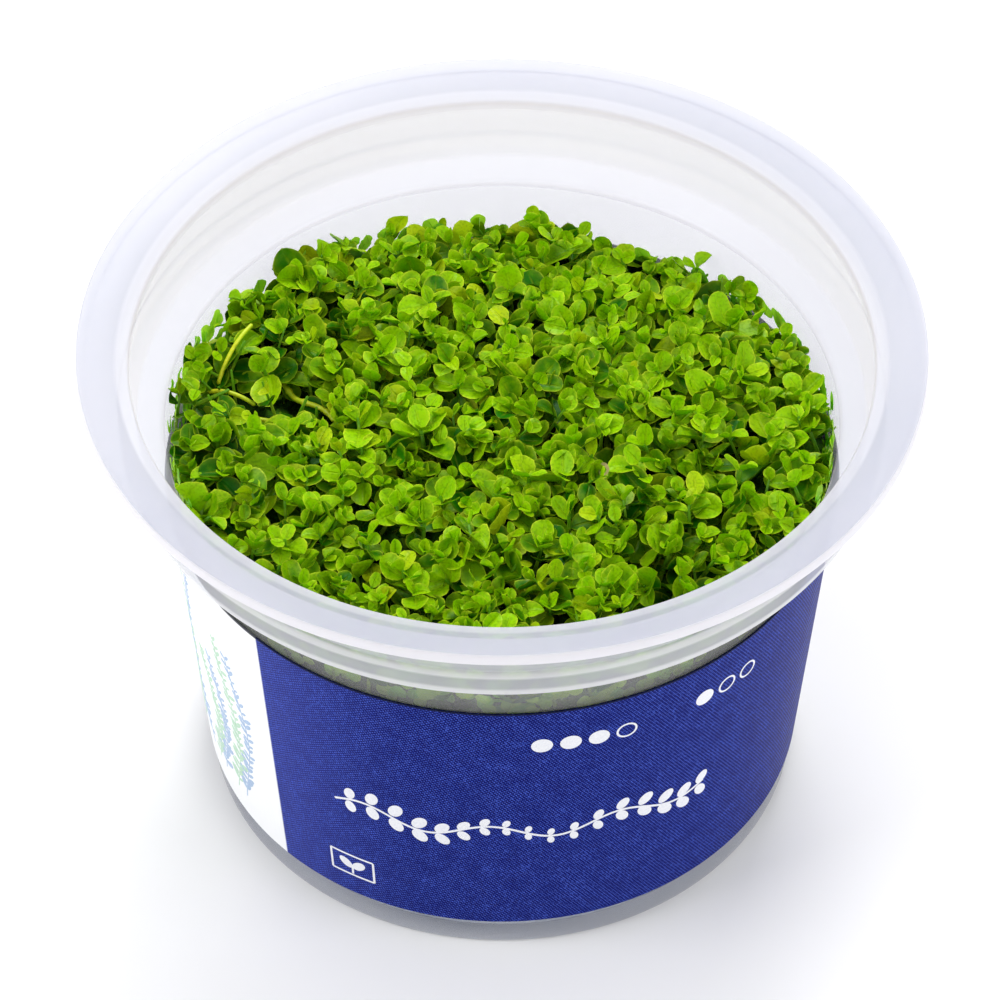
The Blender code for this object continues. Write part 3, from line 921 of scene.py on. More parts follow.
@dataclass
class WrapLabel:
    """The printed band round the tapered wall, with its printed marks.

    A printed mark is drawn on the flattened band: metres to the right of the front, and metres up.
    """

    cup: CultureCup
    bottom_z: float = 0.0048
    top_z: float = 0.0468
    clearance: float = 0.00008
    thickness: float = 0.00018
    ink: float = 0.00003
    segments: int = 256
    marks_z: float = 0.0405
    dots_x: tuple[float, ...] = (0.0045, 0.0078, 0.0111, 0.0246)
    rings_x: tuple[float, ...] = (0.0144, 0.0279, 0.0312)
    dot_radius: float = 0.00125
    ring_radius: float = 0.00115
    ring_width: float = 0.00026
    line_width: float = 0.00030
    stem_width: float = 0.00034
    spray_width: float = 0.00016
    frame_x: tuple[float, float] = (-0.0225, -0.0165)
    frame_z: tuple[float, float] = (0.0085, 0.0125)
    spray_feet: tuple[float, ...] = (-0.0395, -0.0450, -0.0520, -0.0610, -0.0705, -0.0800, -0.0900)

    def outer(self, height: np.ndarray | float) -> np.ndarray | float:
        """Radius of the film's outside at a height."""
        return self.cup.body_radius(height) + self.clearance + self.thickness

    def band(self) -> bpy.types.Object:
        """The film itself, a closed ring with thin edges."""
        heights = np.linspace(self.bottom_z, self.top_z, 12)
        outside = np.stack([self.outer(heights), heights], axis=-1)
        inside = np.stack([self.outer(heights) - self.thickness, heights], axis=-1)[::-1]
        film = lathe(np.concatenate([outside, inside]), self.segments, (False, False), ring=True)
        height = film.points[:, 2]
        film.uv[..., 1] = ((height - self.bottom_z) / (self.top_z - self.bottom_z))[film.faces]
        return film.piece("label_film", LabelFinish().material(), Slot.LABEL, "label")

    def wrap(self, flat: np.ndarray, lift: np.ndarray) -> np.ndarray:
        """Lays flat places round the cup: turn = across / radius, out by a lift.

        Args:
            flat: (..., 2) metres right of the front and metres up.
            lift: (...) metres out of the film.

        Returns:
            (..., 3) places.
        """
        radius = self.outer(flat[..., 1])
        turn = flat[..., 0] / float(self.outer((self.bottom_z + self.top_z) / 2))
        out = radius + lift
        return np.stack([out * np.sin(turn), -out * np.cos(turn), flat[..., 1]], axis=-1)

    def blobs(self, middles: np.ndarray, sizes: np.ndarray, turns: np.ndarray, steps: int = 20) -> Surface:
        """Filled ovals: middle + turned (long * cos a, short * sin a), closed under the film.

        Args:
            middles: (n, 2) middles.
            sizes: (n, 2) half length and half width.
            turns: (n,) angle of the long way.
            steps: number of points round each oval.

        Returns:
            The ovals as one surface.
        """
        angle = TAU * np.arange(steps) / steps
        ring = np.stack([np.cos(angle), np.sin(angle)], axis=-1)[None] * sizes[:, None]
        cos, sin = np.cos(turns)[:, None], np.sin(turns)[:, None]
        along, over = ring[..., 0], ring[..., 1]
        ring = np.stack([along * cos - over * sin, along * sin + over * cos], axis=-1)
        levels = [(1.0, -self.ink), (1.0, self.ink * 0.5), (0.9, self.ink), (0.45, self.ink)]
        rows = [self.wrap(middles[:, None] + ring * k, np.full(ring.shape[:2], up)) for k, up in levels]
        caps = [self.wrap(middles, np.full(len(middles), up))[:, None] for up in (-self.ink, self.ink)]
        points = np.concatenate(rows + caps, axis=1)
        number = np.arange(len(levels) * steps).reshape(len(levels), steps)
        turned = np.roll(number, -1, axis=1)
        wall = np.stack([number[:-1], turned[:-1], turned[1:], number[1:]], axis=-1).reshape(-1, 4)
        none = np.full(steps, NO_CORNER)
        low = np.full(steps, len(levels) * steps)
        foot = np.stack([turned[0], number[0], low, none], axis=-1)
        head = np.stack([number[-1], turned[-1], low + 1, none], axis=-1)
        faces = np.concatenate([wall, foot, head])
        return repeated(faces, np.zeros((points.shape[1], 2)), points)

    def lines(self, paths: np.ndarray, width: float) -> Surface:
        """Printed lines: a flat ribbon with four walls carried along each path.

        Args:
            paths: (n, k, 2) places along each line, on the flattened band.
            width: the lines' width.

        Returns:
            The lines as one surface.
        """
        ahead = unit(np.gradient(paths, axis=1))
        across = np.stack([-ahead[..., 1], ahead[..., 0]], axis=-1) * width / 2
        sides = [(-1.0, -self.ink), (1.0, -self.ink), (1.0, self.ink), (-1.0, self.ink)]
        rows = [self.wrap(paths + across * s, np.full(paths.shape[:2], up)) for s, up in sides]
        points = np.stack(rows, axis=2).reshape(len(paths), -1, 3)
        length = paths.shape[1]
        number = np.arange(length * 4).reshape(length, 4)
        turned = np.roll(number, -1, axis=1)
        wall = np.stack([number[:-1], number[1:], turned[1:], turned[:-1]], axis=-1).reshape(-1, 4)
        ends = np.stack([number[0], number[-1][::-1]])
        faces = np.concatenate([wall, ends])
        return repeated(faces, np.zeros((points.shape[1], 2)), points)

    def rings(self, middles: np.ndarray, radius: float, width: float) -> Surface:
        """Printed rings, each a closed line round its middle."""
        angle = np.linspace(0.0, TAU, 33)
        circle = np.stack([np.cos(angle), np.sin(angle)], axis=-1) * radius
        return self.lines(middles[:, None] + circle[None], width)

    def creeping_sprig(self) -> list[Surface]:
        """A white creeping stem with round leaves in pairs, across the middle of the blue."""
        share = np.linspace(0.0, 1.0, 64)
        stem = np.stack([-0.021 + 0.047 * share, 0.0235 + 0.0012 * np.sin(share * 3 * TAU)], axis=-1)
        nodes = np.linspace(0.04, 0.98, 17)
        at = np.stack([np.interp(nodes, share, stem[:, k]) for k in (0, 1)], axis=-1)
        swell = 0.75 + 0.25 * np.sin(nodes * 9.0)
        leaves = []
        for side in (1.0, -1.0):
            lean = side * (1.15 + 0.25 * np.cos(nodes * 11.0))
            out = np.stack([np.cos(lean), np.sin(lean)], axis=-1)
            size = np.stack([0.00125 * swell, 0.00086 * swell], axis=-1)
            leaves.append(self.blobs(at + out * size[:, :1] * 1.25, size, lean))
        return [self.lines(stem[None], self.stem_width), *leaves]

    def marks(self) -> bpy.types.Object:
        """The white marks on the blue: the sprig, two rows of dots and a framed leaf pair."""
        dots = np.array([(x, self.marks_z) for x in self.dots_x])
        hollow = np.array([(x, self.marks_z) for x in self.rings_x])
        parts = [self.blobs(dots, np.full((len(dots), 2), self.dot_radius), np.zeros(len(dots)))]
        parts.append(self.rings(hollow, self.ring_radius, self.ring_width))
        parts += self.creeping_sprig()
        left, right = self.frame_x
        low, high = self.frame_z
        corners = np.array([(left, low), (right, low), (right, high), (left, high)])
        base = np.linspace(0.0, 1.0, 8)[:, None]
        sides = [corners[k] + (corners[(k + 1) % 4] - corners[k]) * base for k in range(4)]
        parts.append(self.lines(np.stack(sides), self.line_width))
        pair = np.array([(-0.0204, 0.0107), (-0.0186, 0.0107)])
        parts.append(self.blobs(pair, np.array([(0.0011, 0.0007)] * 2), np.array([2.4, 0.75])))
        stem = np.stack([np.full(6, -0.0195), np.linspace(0.0088, 0.0104, 6)], axis=-1)
        parts.append(self.lines(stem[None], self.line_width))
        ink = InkFinish("white_ink", (0.86, 0.87, 0.90), (0.66, 0.68, 0.78))
        return Surface.joined(parts).piece("label_white_marks", ink.material(), Slot.LABEL)

    def pale_plants(self) -> list[bpy.types.Object]:
        """Faint plant sprays on the white panel, in two pale inks."""
        dice = np.random.default_rng(7)
        made = []
        inks = (
            InkFinish("pale_green_ink", (0.42, 0.66, 0.48), (0.70, 0.83, 0.72)),
            InkFinish("pale_blue_ink", (0.32, 0.46, 0.68), (0.62, 0.72, 0.86)),
        )
        for number, ink in enumerate(inks):
            parts = []
            for foot in self.spray_feet:
                foot = foot + 0.0024 * number
                tall = 0.020 + 0.012 * dice.random()
                share = np.linspace(0.0, 1.0, 24)
                sway = 0.0015 * np.sin(share * 5.0 + dice.random() * TAU)
                stem = np.stack([foot + sway, 0.009 + tall * share], axis=-1)
                parts.append(self.lines(stem[None], self.spray_width))
                nodes = np.linspace(0.06, 1.0, 22)
                at = np.stack([np.interp(nodes, share, stem[:, k]) for k in (0, 1)], axis=-1)
                for side in (1.0, -1.0):
                    lean = math.pi / 2 - side * dice.uniform(0.5, 1.2, len(nodes))
                    out = np.stack([np.cos(lean), np.sin(lean)], axis=-1)
                    long = dice.uniform(0.0005, 0.0011, len(nodes)) * (1.15 - 0.5 * nodes)
                    size = np.stack([long, long * 0.42], axis=-1)
                    parts.append(self.blobs(at + out * size[:, :1] * 1.1, size, lean, steps=10))
            name = "label_sprays_%d" % (number + 1)
            made.append(Surface.joined(parts).piece(name, ink.material(), Slot.LABEL))
        return made

    def build(self) -> None:
        """Builds the film and all that is printed on it."""
        self.band()
        self.marks()
        self.pale_plants()


@dataclass
class GelLayer:
    """The culture gel on the cup's floor, whose edge climbs a little up the wall."""

    cup: CultureCup
    top_z: float = 0.0100
    rise: float = 0.0006
    bottom_z: float = 0.0020
    clearance: float = 0.0001
    segments: int = 128

    def build(self) -> bpy.types.Object:
        """Turns the gel's section: flat bottom, wall, curved edge and nearly flat top."""
        wall = float(self.cup.inner_radius(np.array(self.bottom_z))) - self.clearance
        top = float(self.cup.inner_radius(np.array(self.top_z))) - self.clearance
        corners = np.array(
            [
                (0.0, self.bottom_z, 0.0),
                (wall, self.bottom_z, 0.0012),
                (top, self.top_z, 0.0001),
                (top - 0.0016, self.top_z - self.rise, 0.0010),
                (0.0, self.top_z - self.rise, 0.0),
            ]
        )
        section = rounded(corners[:, :2], corners[:, 2], 5)
        gel = lathe(section, self.segments, (True, True))
        return gel.piece("gel_layer", GelFinish().material(), Slot.GEL, "nutrient_gel")


# The plants


@dataclass
class CanopyForm:
    """The height of the shoots' heads: a low dome over an edge that rises to the left and right.

    edge_z is the edge's height at every 30 degrees round the cup, from the right by way of the back.
    """

    edge_z: tuple[float, ...] = (
        0.0534,
        0.0508,
        0.0478,
        0.0486,
        0.0502,
        0.0526,
        0.0542,
        0.0530,
        0.0515,
        0.0510,
        0.0515,
        0.0525,
    )
    middle_z: float = 0.0546
    power: float = 2.2
    radius: float = 0.0390
    swell: float = 0.0006
    hollows: tuple[tuple[float, float, float, float], ...] = (
        (-0.0272, 0.0115, 0.0034, 0.0032),
        (-0.0225, 0.0065, 0.0034, 0.0032),
        (-0.0322, 0.0075, 0.0026, 0.0026),
        (-0.0212, 0.0200, 0.0022, 0.0034),
    )

    def height(self, spots: np.ndarray) -> np.ndarray:
        """Height of the heads over each place.

        It goes from the middle's height to the edge's by the share (r / radius)^power, plus slow
        waves, less a bell for each hollow.

        Args:
            spots: (n, 2) places.

        Returns:
            (n,) heights.
        """
        x, y = spots[:, 0], spots[:, 1]
        out = np.minimum(np.hypot(x, y) / self.radius, 1.0) ** self.power
        turn = np.mod(np.arctan2(y, x), TAU)
        edge = np.interp(turn, np.linspace(0.0, TAU, len(self.edge_z) + 1), (*self.edge_z, self.edge_z[0]))
        made = self.middle_z + (edge - self.middle_z) * out
        waves = np.sin(x * 560 + 1.3) * np.cos(y * 430 + 0.4) + np.sin(x * 910 + y * 780)
        made = made + self.swell * waves
        for at_x, at_y, wide, deep in self.hollows:
            made = made - deep * np.exp(-((x - at_x) ** 2 + (y - at_y) ** 2) / wide**2)
        return made


@dataclass
class LeafMaker:
    """Makes many rounded leaves at once, each a thin closed blade.

    A blade's middle line bends by a steady curve, and its half width follows the widths below. Its
    sides rise to a shallow dish and its back lies under the face by a thickness.
    """

    stations: tuple[float, ...] = (0.0, 0.06, 0.17, 0.35, 0.57, 0.77, 0.91, 0.975, 1.0)
    widths: tuple[float, ...] = (0.0, 0.18, 0.60, 0.92, 1.0, 0.87, 0.60, 0.33, 0.0)
    columns: tuple[float, ...] = (-1.0, -0.5, 0.0, 0.5, 1.0)
    thickness: float = 0.00013

    def net(self) -> tuple[np.ndarray, np.ndarray, np.ndarray]:
        """The blade's net of faces.

        Returns:
            (m, 4) faces, (k, 2) share along and across of each point, and (k,) which points are on
            the back.
        """
        inner = len(self.stations) - 2
        wide = len(self.columns)
        face = 2 + np.arange(inner * wide).reshape(inner, wide)
        back = 2 + inner * wide + np.arange(inner)
        none = np.full(wide - 1, NO_CORNER)
        first, last = np.zeros(wide - 1, int), np.ones(wide - 1, int)
        quads = np.stack([face[:-1, :-1], face[1:, :-1], face[1:, 1:], face[:-1, 1:]], -1).reshape(-1, 4)
        root = np.stack([first, face[0, :-1], face[0, 1:], none], -1)
        tip = np.stack([face[-1, :-1], last, face[-1, 1:], none], -1)
        left, right = face[:, 0], face[:, -1]
        under = np.concatenate(
            [
                np.stack([left[:-1], back[:-1], back[1:], left[1:]], -1),
                np.stack([back[:-1], right[:-1], right[1:], back[1:]], -1),
                [[0, back[0], left[0], NO_CORNER], [0, right[0], back[0], NO_CORNER]],
                [[left[-1], back[-1], 1, NO_CORNER], [back[-1], right[-1], 1, NO_CORNER]],
            ]
        )
        along = np.repeat(self.stations[1:-1], wide)
        across = np.tile(self.columns, inner)
        shares = np.stack([along, across], -1)
        ends = np.array([[0.0, 0.0], [1.0, 0.0]])
        middles = np.stack([self.stations[1:-1], np.zeros(inner)], -1)
        shares = np.concatenate([ends, shares, middles])
        on_back = np.zeros(len(shares))
        on_back[-inner:] = 1.0
        return np.concatenate([quads, root, tip, under]), shares, on_back

    def blades(self, at: LeafPlaces) -> Surface:
        """All blades of a set of places.

        With s the share along, v the share across and b the bend: forward = length * sin(b s) / b,
        up = length * (1 - cos(b s)) / b + dish * half width * v^2 + fold * half width * |v| plus a
        small wave, and across = half width * v.

        Args:
            at: where the leaves are and how each is shaped.

        Returns:
            The surface, with the marks age and hue.
        """
        faces, shares, on_back = self.net()
        s, v = shares[None, :, 0], shares[None, :, 1]
        half = np.interp(s, self.stations, self.widths) * (at.width / 2)[:, None]
        bend = at.bend[:, None] + 1e-4
        long = at.length[:, None]
        forward = long * np.sin(bend * s) / bend
        up = long * (1.0 - np.cos(bend * s)) / bend
        up = up + half * (at.dish[:, None] * v**2 + at.fold[:, None] * np.abs(v))
        up = up + half * 0.10 * np.sin(s * 9.0 + at.hue[:, None] * 40.0) * v
        up = up - on_back[None] * self.thickness * np.sqrt(np.interp(s, self.stations, self.widths))
        side = half * v * (1.0 - 0.12 * np.abs(at.fold[:, None]))
        over = np.cross(at.ahead, at.across)
        points = at.root[:, None] + forward[..., None] * at.ahead[:, None]
        points = points + side[..., None] * at.across[:, None] + up[..., None] * over[:, None]
        flat = np.stack([shares[:, 0], shares[:, 1] / 2 + 0.5], -1)
        made = repeated(faces, flat, points)
        made.marks = {key: np.repeat(getattr(at, key), len(shares)) for key in ("age", "hue")}
        return made


@dataclass
class LeafPlaces:
    """Where many leaves are, and how each is shaped; every field has a row for each leaf."""

    root: np.ndarray
    ahead: np.ndarray
    across: np.ndarray
    length: np.ndarray
    width: np.ndarray
    bend: np.ndarray
    dish: np.ndarray
    fold: np.ndarray
    age: np.ndarray
    hue: np.ndarray

    def part(self, chosen: np.ndarray) -> LeafPlaces:
        """The leaves of a mask."""
        return LeafPlaces(*[getattr(self, key)[chosen] for key in self.__dataclass_fields__])


@dataclass
class Shoots:
    """Upright shoots: where each stands, how it leans, and the height of its tip."""

    spot: np.ndarray
    top_z: np.ndarray
    lean: np.ndarray
    turn: np.ndarray
    size: np.ndarray

    def axis(self) -> np.ndarray:
        """Each stem's direction, from its two leans."""
        return unit(np.concatenate([self.lean, np.ones((len(self.lean), 1))], axis=1))

    def point(self, below: np.ndarray) -> np.ndarray:
        """Places on the stems at distances below their tips.

        Args:
            below: (n, k) distances.

        Returns:
            (n, k, 3) places.
        """
        tip = np.concatenate([self.spot, self.top_z[:, None]], axis=1)
        return tip[:, None] - self.axis()[:, None] * below[..., None]


@dataclass
class PlantCarpet:
    """The carpet of plants: the dark mass, the field of shoots over it, and leaves on the wall."""

    cup: CultureCup
    runner_lines: list[np.ndarray]
    bare_lines: list[np.ndarray]
    form: CanopyForm = field(default_factory=CanopyForm)
    maker: LeafMaker = field(default_factory=LeafMaker)
    seed: int = 23
    field_radius: float = 0.0388
    field_spots: int = 590
    field_jitter: float = 0.0008
    clear_of_standing: float = 0.0022
    wall_gap: float = 0.00018
    tier_below: tuple[float, ...] = (0.0001, 0.0009, 0.0022, 0.0040)
    tier_length: tuple[float, ...] = (0.0022, 0.0032, 0.0037, 0.0037)
    tier_rise: tuple[float, ...] = (48.0, 26.0, 12.0, 4.0)
    tier_age: tuple[float, ...] = (0.0, 0.25, 0.6, 1.0)
    missing: float = 0.14
    standing_drop: float = 0.0006
    standing_stem: float = 0.0062
    field_stem: float = 0.0060
    stem_thick: float = 0.00030
    stem_thin: float = 0.00018
    wall_count: int = 720
    wall_front_rise: float = 0.0022
    wall_below: tuple[float, float] = (-0.0004, 0.0078)
    wall_inside: tuple[float, float] = (0.0002, 0.0009)
    wall_length: tuple[float, float] = (0.0015, 0.0031)
    mass_side: tuple[float, float] = (0.0103, 0.0470)
    mass_inside: float = 0.0007
    mass_top_radius: float = 0.0382
    mass_below: float = 0.0056
    mass_lumps: float = 0.0006
    mass_segments: int = 144
    runner_clear: float = 0.0010
    part_width: float = 0.0012
    part_rise: float = math.radians(46.0)
    tinted_spots: tuple[Place, ...] = (
        (0.0129, -0.0101, WITHERED),
        (0.0057, 0.0370, YELLOWED),
        (-0.0122, 0.0365, YELLOWED),
    )

    def __post_init__(self) -> None:
        """Sets the one stream of random numbers for this carpet."""
        self.dice = np.random.default_rng(self.seed)

    def standing_nodes(self) -> list[str]:
        """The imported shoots' names."""
        return sorted(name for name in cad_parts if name.startswith("shoot_"))

    def standing_shoots(self) -> Shoots:
        """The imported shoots: each stands on its node's foot and reaches its node's top."""
        feet, tops = [], []
        for name in self.standing_nodes():
            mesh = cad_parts[name].data
            points = np.empty(len(mesh.vertices) * 3, np.float32)
            mesh.vertices.foreach_get("co", points)
            points = points.reshape(-1, 3)
            low = points[points[:, 2] < points[:, 2].min() + 0.0003]
            feet.append(low[:, :2].mean(axis=0))
            tops.append(points[:, 2].max())
        count = len(feet)
        return Shoots(
            np.array(feet),
            np.array(tops) - self.standing_drop,
            self.dice.normal(0.0, 0.10, (count, 2)),
            self.dice.uniform(0.0, TAU, count),
            self.dice.uniform(1.10, 1.28, count),
        )

    def field_shoots(self, standing: Shoots) -> Shoots:
        """The shoots between them: a jittered sunflower spiral under the canopy's form.

        Place i is at radius R * sqrt((i + 0.5) / n) and at i golden angles.

        Args:
            standing: the shoots that are placed already.

        Returns:
            The shoots of the field, clear of those.
        """
        i = np.arange(self.field_spots)
        radius = self.field_radius * np.sqrt((i + 0.5) / self.field_spots)
        angle = i * GOLDEN_ANGLE
        spot = np.stack([np.cos(angle), np.sin(angle)], -1) * radius[:, None]
        spot = spot + self.dice.normal(0.0, self.field_jitter, spot.shape)
        out = np.hypot(spot[:, 0], spot[:, 1])
        spot = spot * np.minimum(1.0, self.field_radius / out)[:, None]
        away = np.linalg.norm(spot[:, None] - standing.spot[None], axis=-1).min(axis=1)
        keep = away > self.clear_of_standing
        for line in self.runner_lines:
            near = np.linalg.norm(spot[:, None] - line[None, :, :2], axis=-1).min(axis=1)
            keep &= near > self.runner_clear
        spot = spot[keep]
        count = len(spot)
        outward = unit(spot) * (np.hypot(spot[:, 0], spot[:, 1]) / self.field_radius)[:, None] ** 2
        return Shoots(
            spot,
            self.form.height(spot) + self.dice.normal(0.0, 0.0007, count),
            self.dice.normal(0.0, 0.32, (count, 2)) - 0.05 * outward,
            self.dice.uniform(0.0, TAU, count),
            0.80 + 0.56 * self.dice.random(count) ** 2.2,
        )

    def shoot_leaves(self, shoots: Shoots) -> LeafPlaces:
        """The pairs of leaves of many shoots; each pair crosses the one above it.

        Args:
            shoots: the shoots.

        Returns:
            The places of all their leaves.
        """
        count, tiers = len(shoots.spot), len(self.tier_below)
        below = np.array(self.tier_below)[None] * shoots.size[:, None]
        below = below * self.dice.uniform(0.75, 1.45, (count, 1))
        below = below + self.dice.normal(0.0, 0.0002, (count, tiers))
        at = shoots.point(np.maximum(below, 0.0))
        root = np.repeat(at.reshape(-1, 3), 2, axis=0)
        tier = np.tile(np.repeat(np.arange(tiers), 2), count)
        shoot = np.repeat(np.arange(count), tiers * 2)
        side = np.tile([0.0, math.pi], count * tiers)
        total = len(tier)
        heading = shoots.turn[shoot] + tier * (math.pi / 2) + side + self.dice.normal(0.0, 0.34, total)
        rise = np.radians(np.array(self.tier_rise)[tier] + self.dice.normal(0.0, 18.0, total))
        level = np.stack([np.cos(heading), np.sin(heading), np.zeros(total)], -1)
        stem = shoots.axis()[shoot]
        level = unit(level - stem * np.sum(level * stem, axis=1, keepdims=True))
        ahead = unit(level * np.cos(rise)[:, None] + stem * np.sin(rise)[:, None])
        roll = self.dice.normal(0.0, 0.36, total)
        across = unit(np.cross(stem, level))
        over = np.cross(ahead, across)
        across = across * np.cos(roll)[:, None] + over * np.sin(roll)[:, None]
        length = np.array(self.tier_length)[tier] * shoots.size[shoot] * self.dice.uniform(0.82, 1.18, total)
        age = np.array(self.tier_age)[tier] + self.dice.normal(0.0, 0.22, total)
        made = LeafPlaces(
            root,
            ahead,
            across,
            length,
            length * self.dice.uniform(0.68, 0.94, total),
            self.dice.normal(-0.05, 0.42, total),
            self.dice.normal(0.30, 0.20, total),
            np.abs(self.dice.normal(0.0, 0.18, total)),
            np.clip(age, 0.0, 1.0),
            self.dice.random(total),
        )
        return made.part((tier == 0) | (self.dice.random(total) > self.missing))

    def parted(self, leaves: LeafPlaces) -> LeafPlaces:
        """Parts the leaves over the runners, along a slope that opens to the front.

        A leaf goes when its middle lies within a width of a line that rises from a runner.

        Args:
            leaves: the places of the leaves.

        Returns:
            The leaves that stay.
        """
        slope = np.array([0.0, -math.cos(self.part_rise), math.sin(self.part_rise)])
        middle = leaves.root + leaves.ahead * leaves.length[:, None] * 0.5
        keep = np.ones(len(middle), bool)
        for line in self.bare_lines:
            away = middle[:, None] - line[None]
            up = away @ slope
            off = np.linalg.norm(away - up[..., None] * slope, axis=-1)
            keep &= ~((up > 0.0) & (off < self.part_width)).any(axis=1)
        return leaves.part(keep)

    def tint(self, leaves: LeafPlaces) -> None:
        """Gives the upper leaf next to each tinted spot its own hue, such as a withered one's."""
        middle = leaves.root + leaves.ahead * leaves.length[:, None] * 0.5
        for x, y, hue in self.tinted_spots:
            away = np.linalg.norm(middle[:, :2] - np.array([x, y]), axis=1)
            leaves.hue[np.argmin(away - middle[:, 2] * 0.8)] = hue

    def wall_leaves(self) -> LeafPlaces:
        """Leaves that lie flat against the inside of the wall, where it shows above the label."""
        count = self.wall_count
        turn = np.arange(count) * GOLDEN_ANGLE
        edge = np.stack([np.cos(turn), np.sin(turn)], -1) * self.field_radius
        front = np.clip(-np.sin(turn), 0.0, 1.0)
        below = self.dice.uniform(*self.wall_below, count)
        z = self.form.height(edge) + self.wall_front_rise * front - below
        radius = self.cup.inner_radius(z) - self.dice.uniform(*self.wall_inside, count)
        root = np.stack([np.cos(turn) * radius, np.sin(turn) * radius, z], -1)
        out = np.stack([np.cos(turn), np.sin(turn), np.zeros(count)], -1)
        level = np.stack([-np.sin(turn), np.cos(turn), np.zeros(count)], -1)
        spin = self.dice.uniform(0.0, TAU, count)[:, None]
        ahead = level * np.cos(spin) + np.array([0.0, 0.0, 1.0]) * np.sin(spin)
        across = np.cross(out, ahead)
        length = self.dice.uniform(*self.wall_length, count)
        return LeafPlaces(
            root - ahead * length[:, None] / 2,
            ahead,
            -across,
            length,
            length * self.dice.uniform(0.70, 0.90, count),
            self.dice.normal(0.0, 0.2, count),
            self.dice.normal(-0.1, 0.1, count),
            np.abs(self.dice.normal(0.0, 0.1, count)),
            np.clip(self.dice.normal(0.35, 0.40, count), 0.0, 1.0),
            self.dice.random(count),
        )

    def held_in(self, surface: Surface) -> Surface:
        """Presses what would pass through the wall against its inside."""
        x, y, z = surface.points.T
        out = np.hypot(x, y)
        room = self.cup.inner_radius(z) - self.wall_gap
        scale = np.minimum(1.0, room / np.maximum(out, 1e-9))
        surface.points = np.stack([x * scale, y * scale, z], axis=-1)
        return surface

    def stems(self, shoots: Shoots, length: float) -> Surface:
        """A tapering stem under each shoot's tip."""
        share = np.linspace(1.0, 0.0, 4)[None]
        below = share * length * np.ones((len(shoots.spot), 1))
        radii = (self.stem_thin + (self.stem_thick - self.stem_thin) * share) * shoots.size[:, None]
        return self.held_in(tubes(shoots.point(below), radii, 5))

    def mass(self) -> bpy.types.Object:
        """The mass of stems under the leaves: straight sides and a top under the canopy's form."""
        turn = TAU * np.arange(self.mass_segments) / self.mass_segments
        side_z = np.linspace(*self.mass_side, 22)
        side_r = self.cup.inner_radius(side_z) - self.mass_inside
        top_r = np.linspace(self.mass_top_radius, 0.0, 40)
        rows = []
        for z, radius in zip(side_z, side_r):
            rows.append(np.stack([np.cos(turn) * radius, np.sin(turn) * radius, turn * 0 + z], -1))
        for radius in top_r:
            spot = np.stack([np.cos(turn) * radius, np.sin(turn) * radius], -1)
            lumps = np.sin(spot[:, 0] * 2300) * np.sin(spot[:, 1] * 2100 + 1.0)
            z = self.form.height(spot) - self.mass_below + self.mass_lumps * lumps
            rows.append(np.concatenate([spot, z[:, None]], axis=1))
        bottom = np.stack([turn * 0, turn * 0, turn * 0 + side_z[0]], -1)
        body = grid(np.stack([bottom, *rows]), wrap=True, poles=(True, True))
        return body.piece("mat_mass", MassFinish().material(), Slot.MASS, "carpet_mat")

    def build(self) -> None:
        """Builds the mass, the leaves in sheets of like age and painted shade, and the stems."""
        self.mass()
        standing = self.standing_shoots()
        spread = self.field_shoots(standing)
        # Three copies of one leaf finish, which glow less the lower their leaves sit: painted shade as well
        # as age.
        fresh = LeafFinish("leaf_green").material()
        half = LeafFinish("leaf_green_half_grown", glow_share=0.32).material()
        deep = LeafFinish("leaf_green_shaded", glow_share=0.25).material()
        stem = StemFinish("stem_green").material()
        tall = self.parted(self.shoot_leaves(standing))
        tall_leaves = self.held_in(self.maker.blades(tall))
        tall_leaves.piece("standing_shoot_leaves", fresh, Slot.LEAF, *self.standing_nodes())
        tall_stems = self.stems(standing, self.standing_stem)
        tall_stems.piece("standing_shoot_stems", stem, Slot.LEAF, *self.standing_nodes())
        leaves = self.parted(self.shoot_leaves(spread))
        self.tint(leaves)
        young, old = leaves.age < 0.20, leaves.age > 0.62
        sheets = (
            ("canopy_leaves_fresh", young, fresh),
            ("canopy_leaves_half_grown", ~young & ~old, half),
            ("canopy_leaves_grown", old, deep),
        )
        for name, chosen, look in sheets:
            sheet = self.held_in(self.maker.blades(leaves.part(chosen)))
            sheet.piece(name, look, Slot.LEAF, "carpet_mat")
        self.stems(spread, self.field_stem).piece("canopy_stems", stem, Slot.LEAF, "carpet_mat")
        wall = self.held_in(self.maker.blades(self.wall_leaves()))
        # Leaves pressed against the wall get paler, brighter greens as painted light, where the collar and
        # flange shade them.
        pressed_painted_light = LeafFinish(
            name="leaf_green_pressed",
            fresh=(0.740, 1.000, 0.080),
            aged_and_shaded=(0.340, 0.780, 0.070),
            glow=(0.640, 1.000, 0.100),
            glow_share=0.45,
        ).material()
        wall.piece("wall_leaves", pressed_painted_light, Slot.LEAF, "carpet_mat")


